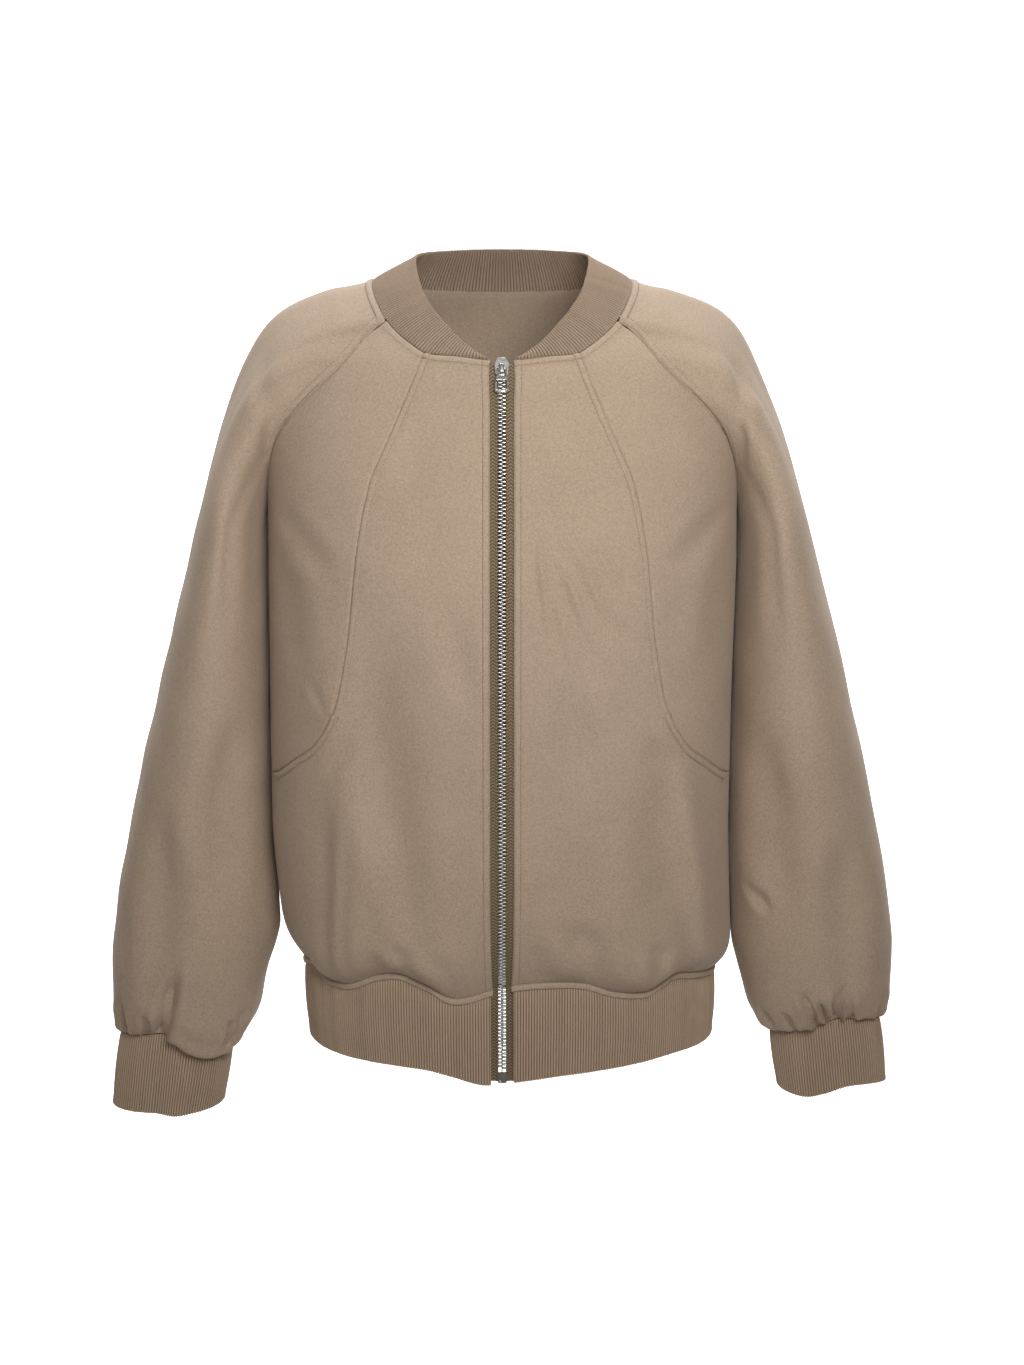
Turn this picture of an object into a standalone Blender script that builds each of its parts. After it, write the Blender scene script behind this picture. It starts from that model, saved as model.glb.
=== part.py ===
"""Zip-front bomber jacket with raglan sleeves, worn form: metres, +Z up, the front faces -Y.

The origin is the middle of the neck, level with the collar seam at the sides. Every cloth piece
is a thin wall: its outer points lie on one torso form or on one sleeve form, which short tables
describe, and its inner points lie a wall's thickness behind them. Tables are in millimetres.
"""

import math

import bpy
import numpy as np

MM = 0.001

# Driving sizes, in millimetres
CLOTH = 2.0
RIB_WALL = 2.2
RIB_RISE = 0.6
RIB_PITCH = 2.25
SEAM_GAP = 0.35
SLEEVE_GAP = 0.65
NECK_GAP_GROWTH = 4.6
OPENING_HALF = 9.3
ARMPIT_Z = -185.0
ARMPIT_OUT = 1.6
TUCK_HEIGHT = 44.0
TUCK_HEIGHT_AT_ZIP = 150.0
TUCK_ZIP_SPREAD = 38.0
TUCK_POWER = 3.4

# Torso form: half width, depth in front and behind, and how square each side's section is
TORSO = dict(
    z=(12, -10, -33, -60, -98, -140, -185, -230, -320, -400, -470, -530, -600, -660),
    half_width=(152, 166, 184, 197, 198, 195.5, 194, 194, 193.2, 193, 192.3, 190.5, 190, 190),
    front=(62, 72, 88, 106.5, 121, 134, 144, 150, 149, 146, 145, 144.5, 144, 144),
    back=(74, 84, 98, 110, 119, 125, 128, 128, 124, 121, 121, 122, 122, 122),
    front_power=(1.5, 1.5, 1.55, 1.8, 2.1, 2.35, 2.45, 2.5, 2.5, 2.5, 2.5, 2.5, 2.5, 2.5),
    back_power=(1.6, 1.6, 1.8, 2.0, 2.2, 2.4, 2.45, 2.5, 2.5, 2.5, 2.5, 2.5, 2.5, 2.5),
)

# How far the lower body hangs over to one side, at its sides
SWAY = dict(z=(-230, -350, -440, -525, -560, -600, -660), shift=(0, -1.5, -1.8, 2.7, 5, 7, 7))
SWAY_POWER = 1.5

# Hem band form
BAND = dict(
    z=(-540, -660),
    half_width=(175, 172),
    front=(123, 121),
    back=(114, 112),
    front_power=(2.4, 2.4),
    back_power=(2.4, 2.4),
)

# Seam between body and hem band, and the band's lower edge: height against x
HEM_SEAM_FRONT = dict(
    x=(-168, -158, -150, -142, -125, -100, -83, -71, -57, -46, -38, -25, -11,
       11, 47, 67, 89, 104, 117, 130, 143, 156, 182),
    z=(-576, -569, -565, -571, -573, -563, -560, -564, -570, -577, -579, -577, -572,
       -567, -565, -567, -575, -578, -579, -573, -568, -571, -579),
)
HEM_SEAM_BACK = dict(
    x=(-168, -140, -105, -70, -35, 0, 40, 80, 115, 145, 182),
    z=(-576, -565, -573, -565, -562, -571, -564, -573, -566, -566, -579),
)
BAND_EDGE_FRONT = dict(
    x=(-168, -119, -84, -60, -43, -13, 16, 47, 80, 114, 147, 182),
    z=(-633, -634, -635, -637, -641, -648, -645, -641, -638, -635, -632, -633),
)
BAND_EDGE_BACK = dict(x=(-168, 0, 182), z=(-633, -636, -633))

# Seams of the right half of the torso, x against height; the left half mirrors them
FRONT_RAGLAN = dict(
    z=(-29, -36, -56, -75, -93, -111, -127, -146, -165, -185),
    x=(92, 104, 121, 140, 159, 174.5, 184, 190.5, 193, 194),
)
BACK_RAGLAN = dict(
    z=(-6, -30, -60, -95, -125, -150, -170, -185),
    x=(80, 101, 125, 151, 172, 186, 192.5, 194),
)
PRINCESS = dict(
    z=(-53, -77, -103, -130, -148, -167, -185, -207, -238, -273, -302, -327, -337),
    x=(61, 71, 82, 94, 102, 107.4, 111, 114.5, 118, 121.4, 126, 131, 134),
)
POCKET_MOUTH = dict(
    z=(-337, -349, -356, -370, -382, -398, -403),
    x=(134, 139, 143, 153, 167, 184, 190.5),
)
POCKET_BAND = 5.0
POCKET_RISE = 1.2

# Neck seam of the right half, from the zip round to the centre back
NECK_SEAM = dict(
    x=(9.3, 36, 61, 71, 82, 92, 100, 105, 106, 103, 94, 80, 42, 0),
    y=(-105, -103.5, -96.5, -90, -80, -64, -45, -22, 2, 26, 48, 64, 80, 84.5),
    z=(-58.5, -55.5, -53, -47, -39, -29, -16, -5, 1, 1.5, -1.5, -6, -9, -10),
)
COLLAR_EDGE = dict(
    x=(13, 31, 45, 52, 58, 63, 67, 70, 71, 69.5, 64, 54, 28, 0),
    y=(-103, -92.5, -80, -71.5, -61, -47, -30, -10, 8, 26, 42, 54, 65, 68),
    z=(-56.5, -44, -30, -22.5, -14.5, -7, 3, 13, 19, 22, 23.5, 24.5, 26, 26.5),
)
COLLAR_START = 0.03
COLLAR_RIBS = 240

# Sleeve form: horizontal rings below the shoulder, each arm's distances from the middle
SLEEVE = dict(
    z=(-205, -265, -334, -400, -460, -500, -537, -556, -572, -603, -640),
    left_outer=(254.5, 270, 287, 303.5, 316.5, 324.5, 330, 332, 333, 334, 332),
    left_inner=(197.5, 196.8, 196.6, 196.6, 195.5, 192.5, 189.8, 193.7, 199, 205.4, 212),
    right_outer=(256.5, 271.7, 289.3, 304.8, 317.8, 325.5, 330.5, 332, 332, 331.3, 329.5),
    right_inner=(197.5, 196.8, 196.3, 195.5, 195.5, 195.5, 195.2, 196, 199.9, 207.5, 214),
    middle_y=(-4, -5, -6, -7, -8, -8.6, -9.3, -9.8, -10.2, -11, -12),
    half_depth=(92, 88, 82, 75.5, 67, 62.5, 59, 58, 57.2, 55, 51),
)
SHOULDER_PULL = dict(
    turn=(0.0, 0.12, 0.25, 0.4, 0.5, 0.6, 0.75, 0.88, 1.0),
    at_seam=(0.8, 0.9, 1.15, 1.5, 1.62, 1.5, 1.15, 0.9, 0.8),
    at_ring=(0.8, 0.9, 1.15, 1.5, 1.62, 1.5, 1.15, 0.9, 0.8),
)
SHOULDER_ROWS = (0.0, 0.08, 0.19, 0.32, 0.46, 0.6, 0.74, 0.88, 1.0)
SHOULDER_LEAD = dict(climb=(0.0, 0.5, 1.0), x=(0.72, 0.82, 0.95), z=(-0.7, -0.55, -0.31))
SHOULDER_CORNER = dict(rise=13.0, at=0.22, spread=0.22, turn_spread=0.2, x=0.64, z=0.77)
SHOULDER_NORMAL = (0.42, 0.0, 0.91)
NECK_TURNS = (0.43, 0.57)
ARM_ROWS = (0.1, 0.23, 0.37, 0.51, 0.64, 0.76, 0.86, 0.925, 0.965, 0.986, 1.0)
RAGLAN_NODES = 14
NECK_SIDE_NODES = 5
PUFF_HEIGHT = 34.0
SLEEVE_ROUND = 390.0

# Each cuff: seam and edge heights, middle at the seam and at the edge, half width and half depth
CUFFS = dict(
    left=dict(sign=-1, seam=-634.0, edge=-699.0, seam_x=279.0, edge_x=288.0, half=48.0, depth=29.0),
    right=dict(sign=1, seam=-623.0, edge=-676.0, seam_x=276.0, edge_x=283.0, half=46.5, depth=28.0),
)
CUFF_MIDDLE_Y = -14.0

# Waves of the two cuff seams and edges, against the turn round the cuff
CUFF_WAVES = dict(
    left=dict(
        turn=(0.0, 0.08, 0.16, 0.22, 0.28, 0.36, 0.5, 0.62, 0.75, 0.88, 1.0),
        seam=(-1, -9, -15, -9, 5, 2, 0, 3, -4, 2, -1),
        edge=(4, 1, -2, -4, -1, -1, 0, 0, 1, 2, 4),
    ),
    right=dict(
        turn=(0.0, 0.08, 0.16, 0.22, 0.28, 0.36, 0.5, 0.62, 0.75, 0.88, 1.0),
        seam=(-8, -7, -4, 1, 7, 5, 2, 4, -3, 1, -8),
        edge=(-6, -9, -11, -7, -1, 0, -2, -1, -2, -4, -6),
    ),
)

# Folds of the body: a line from one place to another, its half width, and its rise or depth
BODY_FOLDS_FRONT = (
    dict(x=(-137, -144), z=(-415, -545), width=17, rise=-4.0),
    dict(x=(-93, -80), z=(-255, -400), width=26, rise=-3.0),
    dict(x=(-80, -57), z=(-400, -520), width=23, rise=-4.5),
    dict(x=(-83, -83), z=(-525, -556), width=16, rise=-3.0),
    dict(x=(142, 160), z=(-385, -455), width=18, rise=2.8),
    dict(x=(160, 168), z=(-455, -540), width=18, rise=2.8),
    dict(x=(116, 132), z=(-400, -510), width=20, rise=-3.0),
    dict(x=(28, 40), z=(-195, -285), width=20, rise=1.4),
    dict(x=(56, 84), z=(-505, -560), width=20, rise=-3.6),
)
BODY_FOLDS_BACK = (
    dict(x=(-92, -70), z=(-230, -420), width=26, rise=-3.2),
    dict(x=(-70, -96), z=(-420, -540), width=22, rise=-3.8),
    dict(x=(-138, -146), z=(-330, -540), width=20, rise=-3.4),
    dict(x=(-12, 6), z=(-300, -545), width=24, rise=-3.0),
    dict(x=(66, 88), z=(-210, -400), width=26, rise=-3.0),
    dict(x=(88, 60), z=(-400, -545), width=22, rise=-3.8),
    dict(x=(138, 146), z=(-350, -540), width=20, rise=-3.4),
)

# Folds of the sleeves, placed by turn (0 inner, 0.25 front, 0.5 outer, 0.75 back) and height
SLEEVE_FOLDS = dict(
    left=(
        dict(turn=(0.37, 0.26), z=(-75, -150), width=20, rise=-4.0),
        dict(turn=(0.26, 0.22), z=(-150, -290), width=21, rise=-3.4),
        dict(turn=(0.16, 0.2), z=(-330, -520), width=24, rise=-3.0),
        dict(turn=(0.34, 0.3), z=(-420, -590), width=22, rise=-3.0),
        dict(turn=(0.2, 0.22), z=(-598, -632), width=12, rise=-6.0),
        dict(turn=(0.32, 0.32), z=(-606, -632), width=12, rise=-3.0),
        dict(turn=(0.63, 0.76), z=(-75, -160), width=20, rise=-4.0),
        dict(turn=(0.76, 0.79), z=(-160, -300), width=21, rise=-3.4),
        dict(turn=(0.7, 0.74), z=(-400, -600), width=22, rise=-3.0),
        dict(turn=(0.62, 0.62), z=(-595, -632), width=12, rise=-4.0),
        dict(turn=(0.8, 0.8), z=(-600, -632), width=12, rise=-4.0),
    ),
    right=(
        dict(turn=(0.38, 0.27), z=(-75, -150), width=20, rise=-4.0),
        dict(turn=(0.27, 0.23), z=(-150, -300), width=21, rise=-3.4),
        dict(turn=(0.15, 0.19), z=(-350, -540), width=24, rise=-3.0),
        dict(turn=(0.33, 0.3), z=(-450, -570), width=22, rise=-3.0),
        dict(turn=(0.13, 0.13), z=(-600, -622), width=11, rise=-4.0),
        dict(turn=(0.232, 0.232), z=(-588, -620), width=10, rise=-4.6),
        dict(turn=(0.33, 0.33), z=(-580, -616), width=11, rise=-5.0),
        dict(turn=(0.62, 0.75), z=(-75, -160), width=20, rise=-4.0),
        dict(turn=(0.75, 0.78), z=(-160, -310), width=21, rise=-3.4),
        dict(turn=(0.71, 0.75), z=(-380, -590), width=22, rise=-3.0),
        dict(turn=(0.63, 0.63), z=(-586, -618), width=12, rise=-4.0),
        dict(turn=(0.8, 0.8), z=(-590, -620), width=12, rise=-4.0),
    ),
)

# Zip, slider and pull tab
TAPE = dict(inner=3.6, outer=13.5, thick=0.9, behind=RIB_WALL + 0.8, past_end=8)
CHAIN = dict(half=3.2, front=1.5, back=3.9)
ZIP_TOP_Z = -62.0
ZIP_END_Z = -636.5
BOX = dict(half=3.6, top=-636.9, bottom=-645.5, front=0.8, back=4.2)
SLIDER = dict(top=4.2, half=6.0, length=15.5, post=3.2, plate=1.2, face=-0.4, back_plate=1.0)
BRIDGE = dict(half=1.9, top=-1.4, bottom=-10.2, leg=1.4, rise=3.6, thick=1.1)
PULL = dict(thick=1.4, bar=0.7, eye_half=2.3, neck_half=3.9, eye_end=-6.2, half=5.5,
            slot_half=3.7, slot_top=-9.6, slot_end=-17.4, end=-20.0)
SLIDER_Z = -60.5

# Grids: columns of the panels, and heights of their rows of points
CENTRE_COLUMNS, SIDE_COLUMNS, BACK_COLUMNS = 10, 7, 19
CENTRE_EDGE_Z = (-53.35, -80, -110, -140, -172, -206, -240, -273, -306, -337, -356, -370, -384,
                 -403, -440, -480, -515, -540, -555, -564)
SIDE_ROWS = dict(
    inner=(-53.35, -75, -95, -118, -140, -172, -206, -240, -273, -306, -337, -356, -370, -384, -394),
    outer=(-29.35, -42, -56, -75, -95, -118, -142, -165, -185, -225, -270, -318, -355, -380, -395),
)
BACK_EDGE_Z = (-6.35, -20, -38, -58, -80, -104, -130, -158, -185, -230, -290, -350, -410, -460,
               -500, -530, -550, -562)
SIDE_SEAM_TURN = 1 - SEAM_GAP / 400
COLUMN_EASE = 95.0

COLOURS = dict(
    cloth=(0.392, 0.304, 0.226),
    rib=(0.300, 0.226, 0.168),
    tape=(0.226, 0.172, 0.110),
    metal=(0.560, 0.545, 0.520),
)


def clear_scene():
    for obj in list(bpy.data.objects):
        bpy.data.objects.remove(obj, do_unlink=True)


def smooth(table, column, name, at):
    """The named column of a table at places along another one, on a curve without overshoot."""
    keys = np.array(table[column], float)
    values = np.array(table[name], float)
    if keys[0] > keys[-1]:
        keys, values = keys[::-1], values[::-1]
    at = np.clip(np.asarray(at, float), keys[0], keys[-1])
    gaps = np.diff(keys)
    slopes = np.diff(values) / gaps
    tangents = np.concatenate([[slopes[0]], (slopes[1:] + slopes[:-1]) / 2, [slopes[-1]]])
    turning = slopes[1:] * slopes[:-1] <= 0
    tangents[1:-1][turning] = 0
    i = np.clip(np.searchsorted(keys, at, side="right") - 1, 0, len(gaps) - 1)
    t = (at - keys[i]) / gaps[i]
    start = (2 * t**3 - 3 * t**2 + 1) * values[i] + (t**3 - 2 * t**2 + t) * gaps[i] * tangents[i]
    end = (3 * t**2 - 2 * t**3) * values[i + 1] + (t**3 - t**2) * gaps[i] * tangents[i + 1]
    return start + end


def along(table, share):
    """Points on the smooth curve through a table's x, y and z, by its share of the rows' length."""
    points = np.column_stack([table["x"], table["y"], table["z"]]).astype(float)
    steps = np.linalg.norm(np.diff(points, axis=0), axis=1)
    keys = np.concatenate([[0], np.cumsum(steps)]) / steps.sum()
    columns = dict(key=keys, x=points[:, 0], y=points[:, 1], z=points[:, 2])
    return np.stack([smooth(columns, "key", axis, share) for axis in "xyz"], axis=-1)


def squareness(form, angle, z):
    front, back = smooth(form, "z", "front_power", z), smooth(form, "z", "back_power", z)
    return np.where(np.cos(angle) < 0, back, front)


def reach(form, turn, z):
    """How far to the side a form reaches at a turn and a height, before it sways."""
    angle = np.asarray(turn, float) * math.pi / 2
    share = np.abs(np.sin(angle)) ** (2 / squareness(form, angle, z))
    return smooth(form, "z", "half_width", z) * np.sign(np.sin(angle)) * share


def section(form, turn, z):
    """Points of a form: turn is 0 at the centre front, 1 at the side and 2 at the centre back."""
    angle = np.asarray(turn, float) * math.pi / 2
    x = reach(form, turn, z)
    near_side = (np.abs(x) / smooth(form, "z", "half_width", z)) ** SWAY_POWER
    x = x + smooth(SWAY, "z", "shift", z) * near_side
    cosine = np.cos(angle)
    depth = np.where(cosine < 0, smooth(form, "z", "back", z), smooth(form, "z", "front", z))
    y = -depth * np.sign(cosine) * np.abs(cosine) ** (2 / squareness(form, angle, z))
    return np.stack([x, y, np.broadcast_to(np.asarray(z, float), x.shape)], axis=-1)


def turn_at(x, z, behind=False):
    """The turn at which the torso form reaches a given x, at a height."""
    side = "back_power" if behind else "front_power"
    share = np.clip(np.abs(x) / smooth(TORSO, "z", "half_width", z), 0, 1)
    turn = np.arcsin(share ** (smooth(TORSO, "z", side, z) / 2)) * 2 / math.pi
    turn = 2 - turn if behind else turn
    return turn * np.where(np.asarray(x) < 0, -1, 1)


def by_side(front, back, turn, name="z"):
    """A height that the front and the back each give against x, at a turn round the hem."""
    x = section(BAND, turn, np.full(np.shape(turn), -600.0))[..., 0]
    behind = np.abs(turn) > 1
    return np.where(behind, smooth(back, "x", name, x), smooth(front, "x", name, x))


def hem_seam(turn):
    return by_side(HEM_SEAM_FRONT, HEM_SEAM_BACK, turn)


def band_edge(turn):
    return by_side(BAND_EDGE_FRONT, BAND_EDGE_BACK, turn)


def fold_rise(folds, first, second, key):
    """How far the folds lift a surface at places given by two coordinates."""
    total = np.zeros(np.shape(first))
    for fold in folds:
        start = np.array([fold[key][0], fold["z"][0]], float)
        line = np.array([fold[key][1], fold["z"][1]], float) - start
        away_x, away_z = first - start[0], second - start[1]
        share = np.clip((away_x * line[0] + away_z * line[1]) / (line @ line), 0, 1)
        distance = np.hypot(away_x - share * line[0], away_z - share * line[1])
        total = total + fold["rise"] * np.exp(-((distance / fold["width"]) ** 2))
    return total


def torso(turn, z):
    """The torso's outer surface, with its folds, drawn in to the hem band at the bottom."""
    turn, z = np.broadcast_arrays(np.asarray(turn, float), np.asarray(z, float))
    full = section(TORSO, turn, z)
    front = np.abs(turn) <= 1
    rise_front = fold_rise(BODY_FOLDS_FRONT, full[..., 0], z, "x")
    rise_back = fold_rise(BODY_FOLDS_BACK, full[..., 0], z, "x")
    rise = np.where(front, rise_front, rise_back)
    rise = rise * np.clip(np.abs(full[..., 1]) / 40, 0, 1)
    full[..., 1] += np.where(front, -rise, rise)
    near_zip = np.exp(-((full[..., 0] / TUCK_ZIP_SPREAD) ** 2)) * front
    height = TUCK_HEIGHT + (TUCK_HEIGHT_AT_ZIP - TUCK_HEIGHT) * near_zip
    share = np.clip(1 - (z - hem_seam(turn)) / height, 0, 1)
    drawn = share**TUCK_POWER
    return full + (section(BAND, turn, z) - full) * drawn[..., None]


def unit(vectors):
    return vectors / np.linalg.norm(vectors, axis=-1, keepdims=True)


def torso_normal(turn, z):
    step_turn, step_z = 0.004, 1.0
    across = torso(turn + step_turn, z) - torso(turn - step_turn, z)
    down = torso(turn, z - step_z) - torso(turn, z + step_z)
    normal = unit(np.cross(down, across))
    return normal * np.sign((normal * (torso(turn, z) * (1, 1, 0))).sum(-1))[..., None]


def grid_normal(points, wrapped, outward):
    """Normals of a grid of points; wrapped means that its columns close on themselves."""
    padded = np.concatenate([points[:, -1:], points, points[:, :1]], axis=1) if wrapped else points
    across = np.gradient(padded, axis=1)
    across = across[:, 1:-1] if wrapped else across
    normal = unit(np.cross(np.gradient(points, axis=0), across))
    return normal * np.sign((normal * outward).sum())


# Meshes


def material(name, colour, roughness, metallic):
    made = bpy.data.materials.new(name)
    made.use_nodes = True
    shader = made.node_tree.nodes["Principled BSDF"]
    shader.inputs["Base Color"].default_value = (*COLOURS[colour], 1)
    shader.inputs["Roughness"].default_value = roughness
    shader.inputs["Metallic"].default_value = metallic
    made.diffuse_color = (*COLOURS[colour], 1)
    return made


def make_object(name, points, faces, colour, parent=None):
    """One closed mesh in millimetres, turned to face out, as a named object."""
    mesh = bpy.data.meshes.new(name)
    mesh.from_pydata([tuple(p) for p in np.asarray(points) * MM], [], faces)
    mesh.validate()
    mesh.update()
    obj = bpy.data.objects.new(name, mesh)
    bpy.context.scene.collection.objects.link(obj)
    obj.parent = parent
    metal = colour == "metal"
    mesh.materials.append(material(name, colour, 0.32 if metal else 0.9, 0.9 if metal else 0.0))
    volume = 0.0
    for face in mesh.polygons:
        corners = [mesh.vertices[i].co for i in face.vertices]
        for second, third in zip(corners[1:-1], corners[2:]):
            volume += corners[0].dot(second.cross(third))
    if volume < 0:
        mesh.flip_normals()
    return obj


def stitch(first, second):
    """Triangles between two lines of points, which may hold different numbers of them."""
    faces = []
    i = j = 0
    last_i, last_j = len(first) - 1, len(second) - 1
    while i < last_i or j < last_j:
        if j == last_j or (i < last_i and (i + 1) * last_j <= (j + 1) * last_i):
            faces.append((first[i], second[j], first[i + 1]))
            i += 1
        else:
            faces.append((first[i], second[j], second[j + 1]))
            j += 1
    return faces


def grid_faces(ids, flipped):
    faces = []
    for upper, lower in zip(ids[:-1], ids[1:]):
        for k in range(len(upper) - 1):
            face = (upper[k], lower[k], lower[k + 1], upper[k + 1])
            faces.append(face[::-1] if flipped else face)
    return faces


def reverse_all(faces):
    return [face[::-1] for face in faces]


def wall(name, outer, inner, colour, wrapped=False):
    """A closed wall between an outer and an inner grid, which may differ in their columns."""
    rows, columns = outer.shape[:2]
    inner_columns = inner.shape[1]
    points = np.concatenate([outer.reshape(-1, 3), inner.reshape(-1, 3)])
    outer_ids = np.arange(rows * columns).reshape(rows, columns)
    inner_ids = rows * columns + np.arange(rows * inner_columns).reshape(rows, inner_columns)
    if wrapped:
        outer_ids = np.concatenate([outer_ids, outer_ids[:, :1]], axis=1)
        inner_ids = np.concatenate([inner_ids, inner_ids[:, :1]], axis=1)
    outer_ids, inner_ids = outer_ids.tolist(), inner_ids.tolist()
    faces = grid_faces(outer_ids, False) + grid_faces(inner_ids, True)
    faces += reverse_all(stitch(outer_ids[0], inner_ids[0]))
    faces += stitch(outer_ids[-1], inner_ids[-1])
    if not wrapped:
        left_outer = [row[0] for row in outer_ids]
        left_inner = [row[0] for row in inner_ids]
        right_outer = [row[-1] for row in outer_ids]
        right_inner = [row[-1] for row in inner_ids]
        faces += stitch(left_outer, left_inner)
        faces += reverse_all(stitch(right_outer, right_inner))
    return make_object(name, points, faces, colour)


def panel(name, turns, heights, colour="cloth", thick=CLOTH, lift=0.0):
    """A wall on the torso form, from grids of turns and heights, lifted off it if asked."""
    points = torso(turns, heights)
    normals = torso_normal(turns, heights)
    return wall(name, points + normals * lift, points + normals * (lift - thick), colour)


def outer_x(table_above, z):
    """The torso's side, or the given seam above the armpit."""
    side = smooth(TORSO, "z", "half_width", z)
    return np.where(z > ARMPIT_Z, smooth(table_above, "z", "x", z), side)


def princess_x(z):
    above = smooth(PRINCESS, "z", "x", z)
    below = smooth(POCKET_MOUTH, "z", "x", z)
    return np.where(z > PRINCESS["z"][-1], above, below)


# The neck seam


def neck_share(index):
    """The share of the neck seam's length at one row of its table."""
    points = np.column_stack([NECK_SEAM["x"], NECK_SEAM["y"], NECK_SEAM["z"]]).astype(float)
    steps = np.linalg.norm(np.diff(points, axis=0), axis=1)
    return np.concatenate([[0], np.cumsum(steps)])[index] / steps.sum()


PRINCESS_SHARE = neck_share(2)
FRONT_RAGLAN_SHARE = neck_share(5)
BACK_RAGLAN_SHARE = neck_share(11)


def neck_nodes():
    """The shares of the neck seam at which the pieces below it have a point."""
    parts = (
        np.linspace(0, PRINCESS_SHARE, CENTRE_COLUMNS),
        np.linspace(PRINCESS_SHARE, FRONT_RAGLAN_SHARE, SIDE_COLUMNS),
        np.linspace(FRONT_RAGLAN_SHARE, BACK_RAGLAN_SHARE, NECK_SIDE_NODES),
        np.linspace(BACK_RAGLAN_SHARE, 1, (BACK_COLUMNS + 1) // 2),
    )
    return np.unique(np.round(np.concatenate(parts), 9))


def neck_curve(shares):
    """Points and outward normals of the neck seam's right half, on the torso form."""
    points = along(NECK_SEAM, shares)
    behind = shares > (FRONT_RAGLAN_SHARE + BACK_RAGLAN_SHARE) / 2
    turns = np.where(
        behind, turn_at(points[:, 0], points[:, 2], True), turn_at(points[:, 0], points[:, 2])
    )
    on_form, normals = torso(turns, points[:, 2]), torso_normal(turns, points[:, 2])
    middle = (FRONT_RAGLAN_SHARE + BACK_RAGLAN_SHARE) / 2
    reach = (BACK_RAGLAN_SHARE - FRONT_RAGLAN_SHARE) / 2
    off_form = np.clip(1 - np.abs(shares - middle) / reach, 0, 1)[:, None]
    points = np.where(off_form == 0, on_form, points)
    return points, unit(normals * (1 - off_form) + np.array(SHOULDER_NORMAL) * off_form)


def neck_line(shares):
    """The neck seam as the straight steps between the nodes of the pieces below it."""
    nodes = neck_nodes()
    points, normals = neck_curve(nodes)
    between = [np.interp(shares, nodes, points[:, k]) for k in range(3)]
    leaning = [np.interp(shares, nodes, normals[:, k]) for k in range(3)]
    return np.stack(between, axis=-1), np.stack(leaning, axis=-1)


def neck_turns(shares, behind=False):
    """Turns and heights of a panel's top edge, just below the neck seam."""
    points, _ = neck_curve(shares)
    height = points[:, 2] - SEAM_GAP
    return turn_at(points[:, 0], height, behind), height


# Pieces of the body

def shares_of(edge_z, low):
    """Shares of a panel's height for its rows, with a last row at its lower edge."""
    z = np.array(edge_z + (low,), float)
    return (z - z[0]) / (z[-1] - z[0])


def centre_edge_turn(z):
    """The turn of the centre front's outer edge: princess seam, pocket mouth, side seam."""
    gap = np.where(z > PRINCESS["z"][-1], SEAM_GAP / 2, SEAM_GAP)
    edge = turn_at(princess_x(z) - gap, z)
    return np.where(z <= POCKET_MOUTH["z"][-1], SIDE_SEAM_TURN, np.minimum(edge, SIDE_SEAM_TURN))


def zip_start_turn(z):
    return turn_at(np.full(np.shape(z), OPENING_HALF), z)


def centre_rows(sign):
    """Turns and heights of the centre front's grid."""
    across = np.linspace(0, 1, CENTRE_COLUMNS)
    top_turn, top_z = neck_turns(np.linspace(0, PRINCESS_SHARE, CENTRE_COLUMNS))
    start = float(zip_start_turn(-570.0))
    low_turn = start + (SIDE_SEAM_TURN - start) * across
    low_z = hem_seam(low_turn * sign) + SEAM_GAP
    shares = shares_of(CENTRE_EDGE_Z, low_z[-1])
    turns, heights = [top_turn], [top_z]
    for share in shares[1:-1]:
        z = top_z + (low_z - top_z) * share
        first, last = zip_start_turn(z), centre_edge_turn(z[-1:])
        around = np.clip(z[-1] + np.linspace(-COLUMN_EASE, COLUMN_EASE, 15), low_z[-1], top_z[-1])
        eased = min(centre_edge_turn(around).mean(), last[0])
        turns.append(first + (eased - first) * across + (last - eased) * across**5)
        heights.append(z)
    turns.append(low_turn)
    heights.append(low_z)
    return np.stack(turns) * sign, np.stack(heights)


def side_rows():
    """Turns and heights of the side front's grid, for the right side."""
    across = np.linspace(0, 1, SIDE_COLUMNS)
    top_turn, top_z = neck_turns(np.linspace(PRINCESS_SHARE, FRONT_RAGLAN_SHARE, SIDE_COLUMNS))
    centre_turns, centre_heights = centre_rows(1)
    edge_turns, edge_z = centre_turns[::-1, -1], centre_heights[::-1, -1]
    turns, heights = [top_turn], [top_z]
    for inner_z, outer_z in zip(SIDE_ROWS["inner"][1:], SIDE_ROWS["outer"][1:]):
        z = inner_z + (outer_z - inner_z) * across
        slanted = inner_z < PRINCESS["z"][-1] + 1
        inner_x = reach(TORSO, np.interp(inner_z, edge_z, edge_turns), inner_z)
        first = turn_at(inner_x + SEAM_GAP * (2 if slanted else 1), inner_z)
        seam = outer_x(FRONT_RAGLAN, outer_z) - SEAM_GAP / 2
        last = min(float(turn_at(seam, outer_z)), SIDE_SEAM_TURN)
        turns.append(first + (last - first) * across)
        heights.append(z)
    return np.stack(turns), np.stack(heights)


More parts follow.
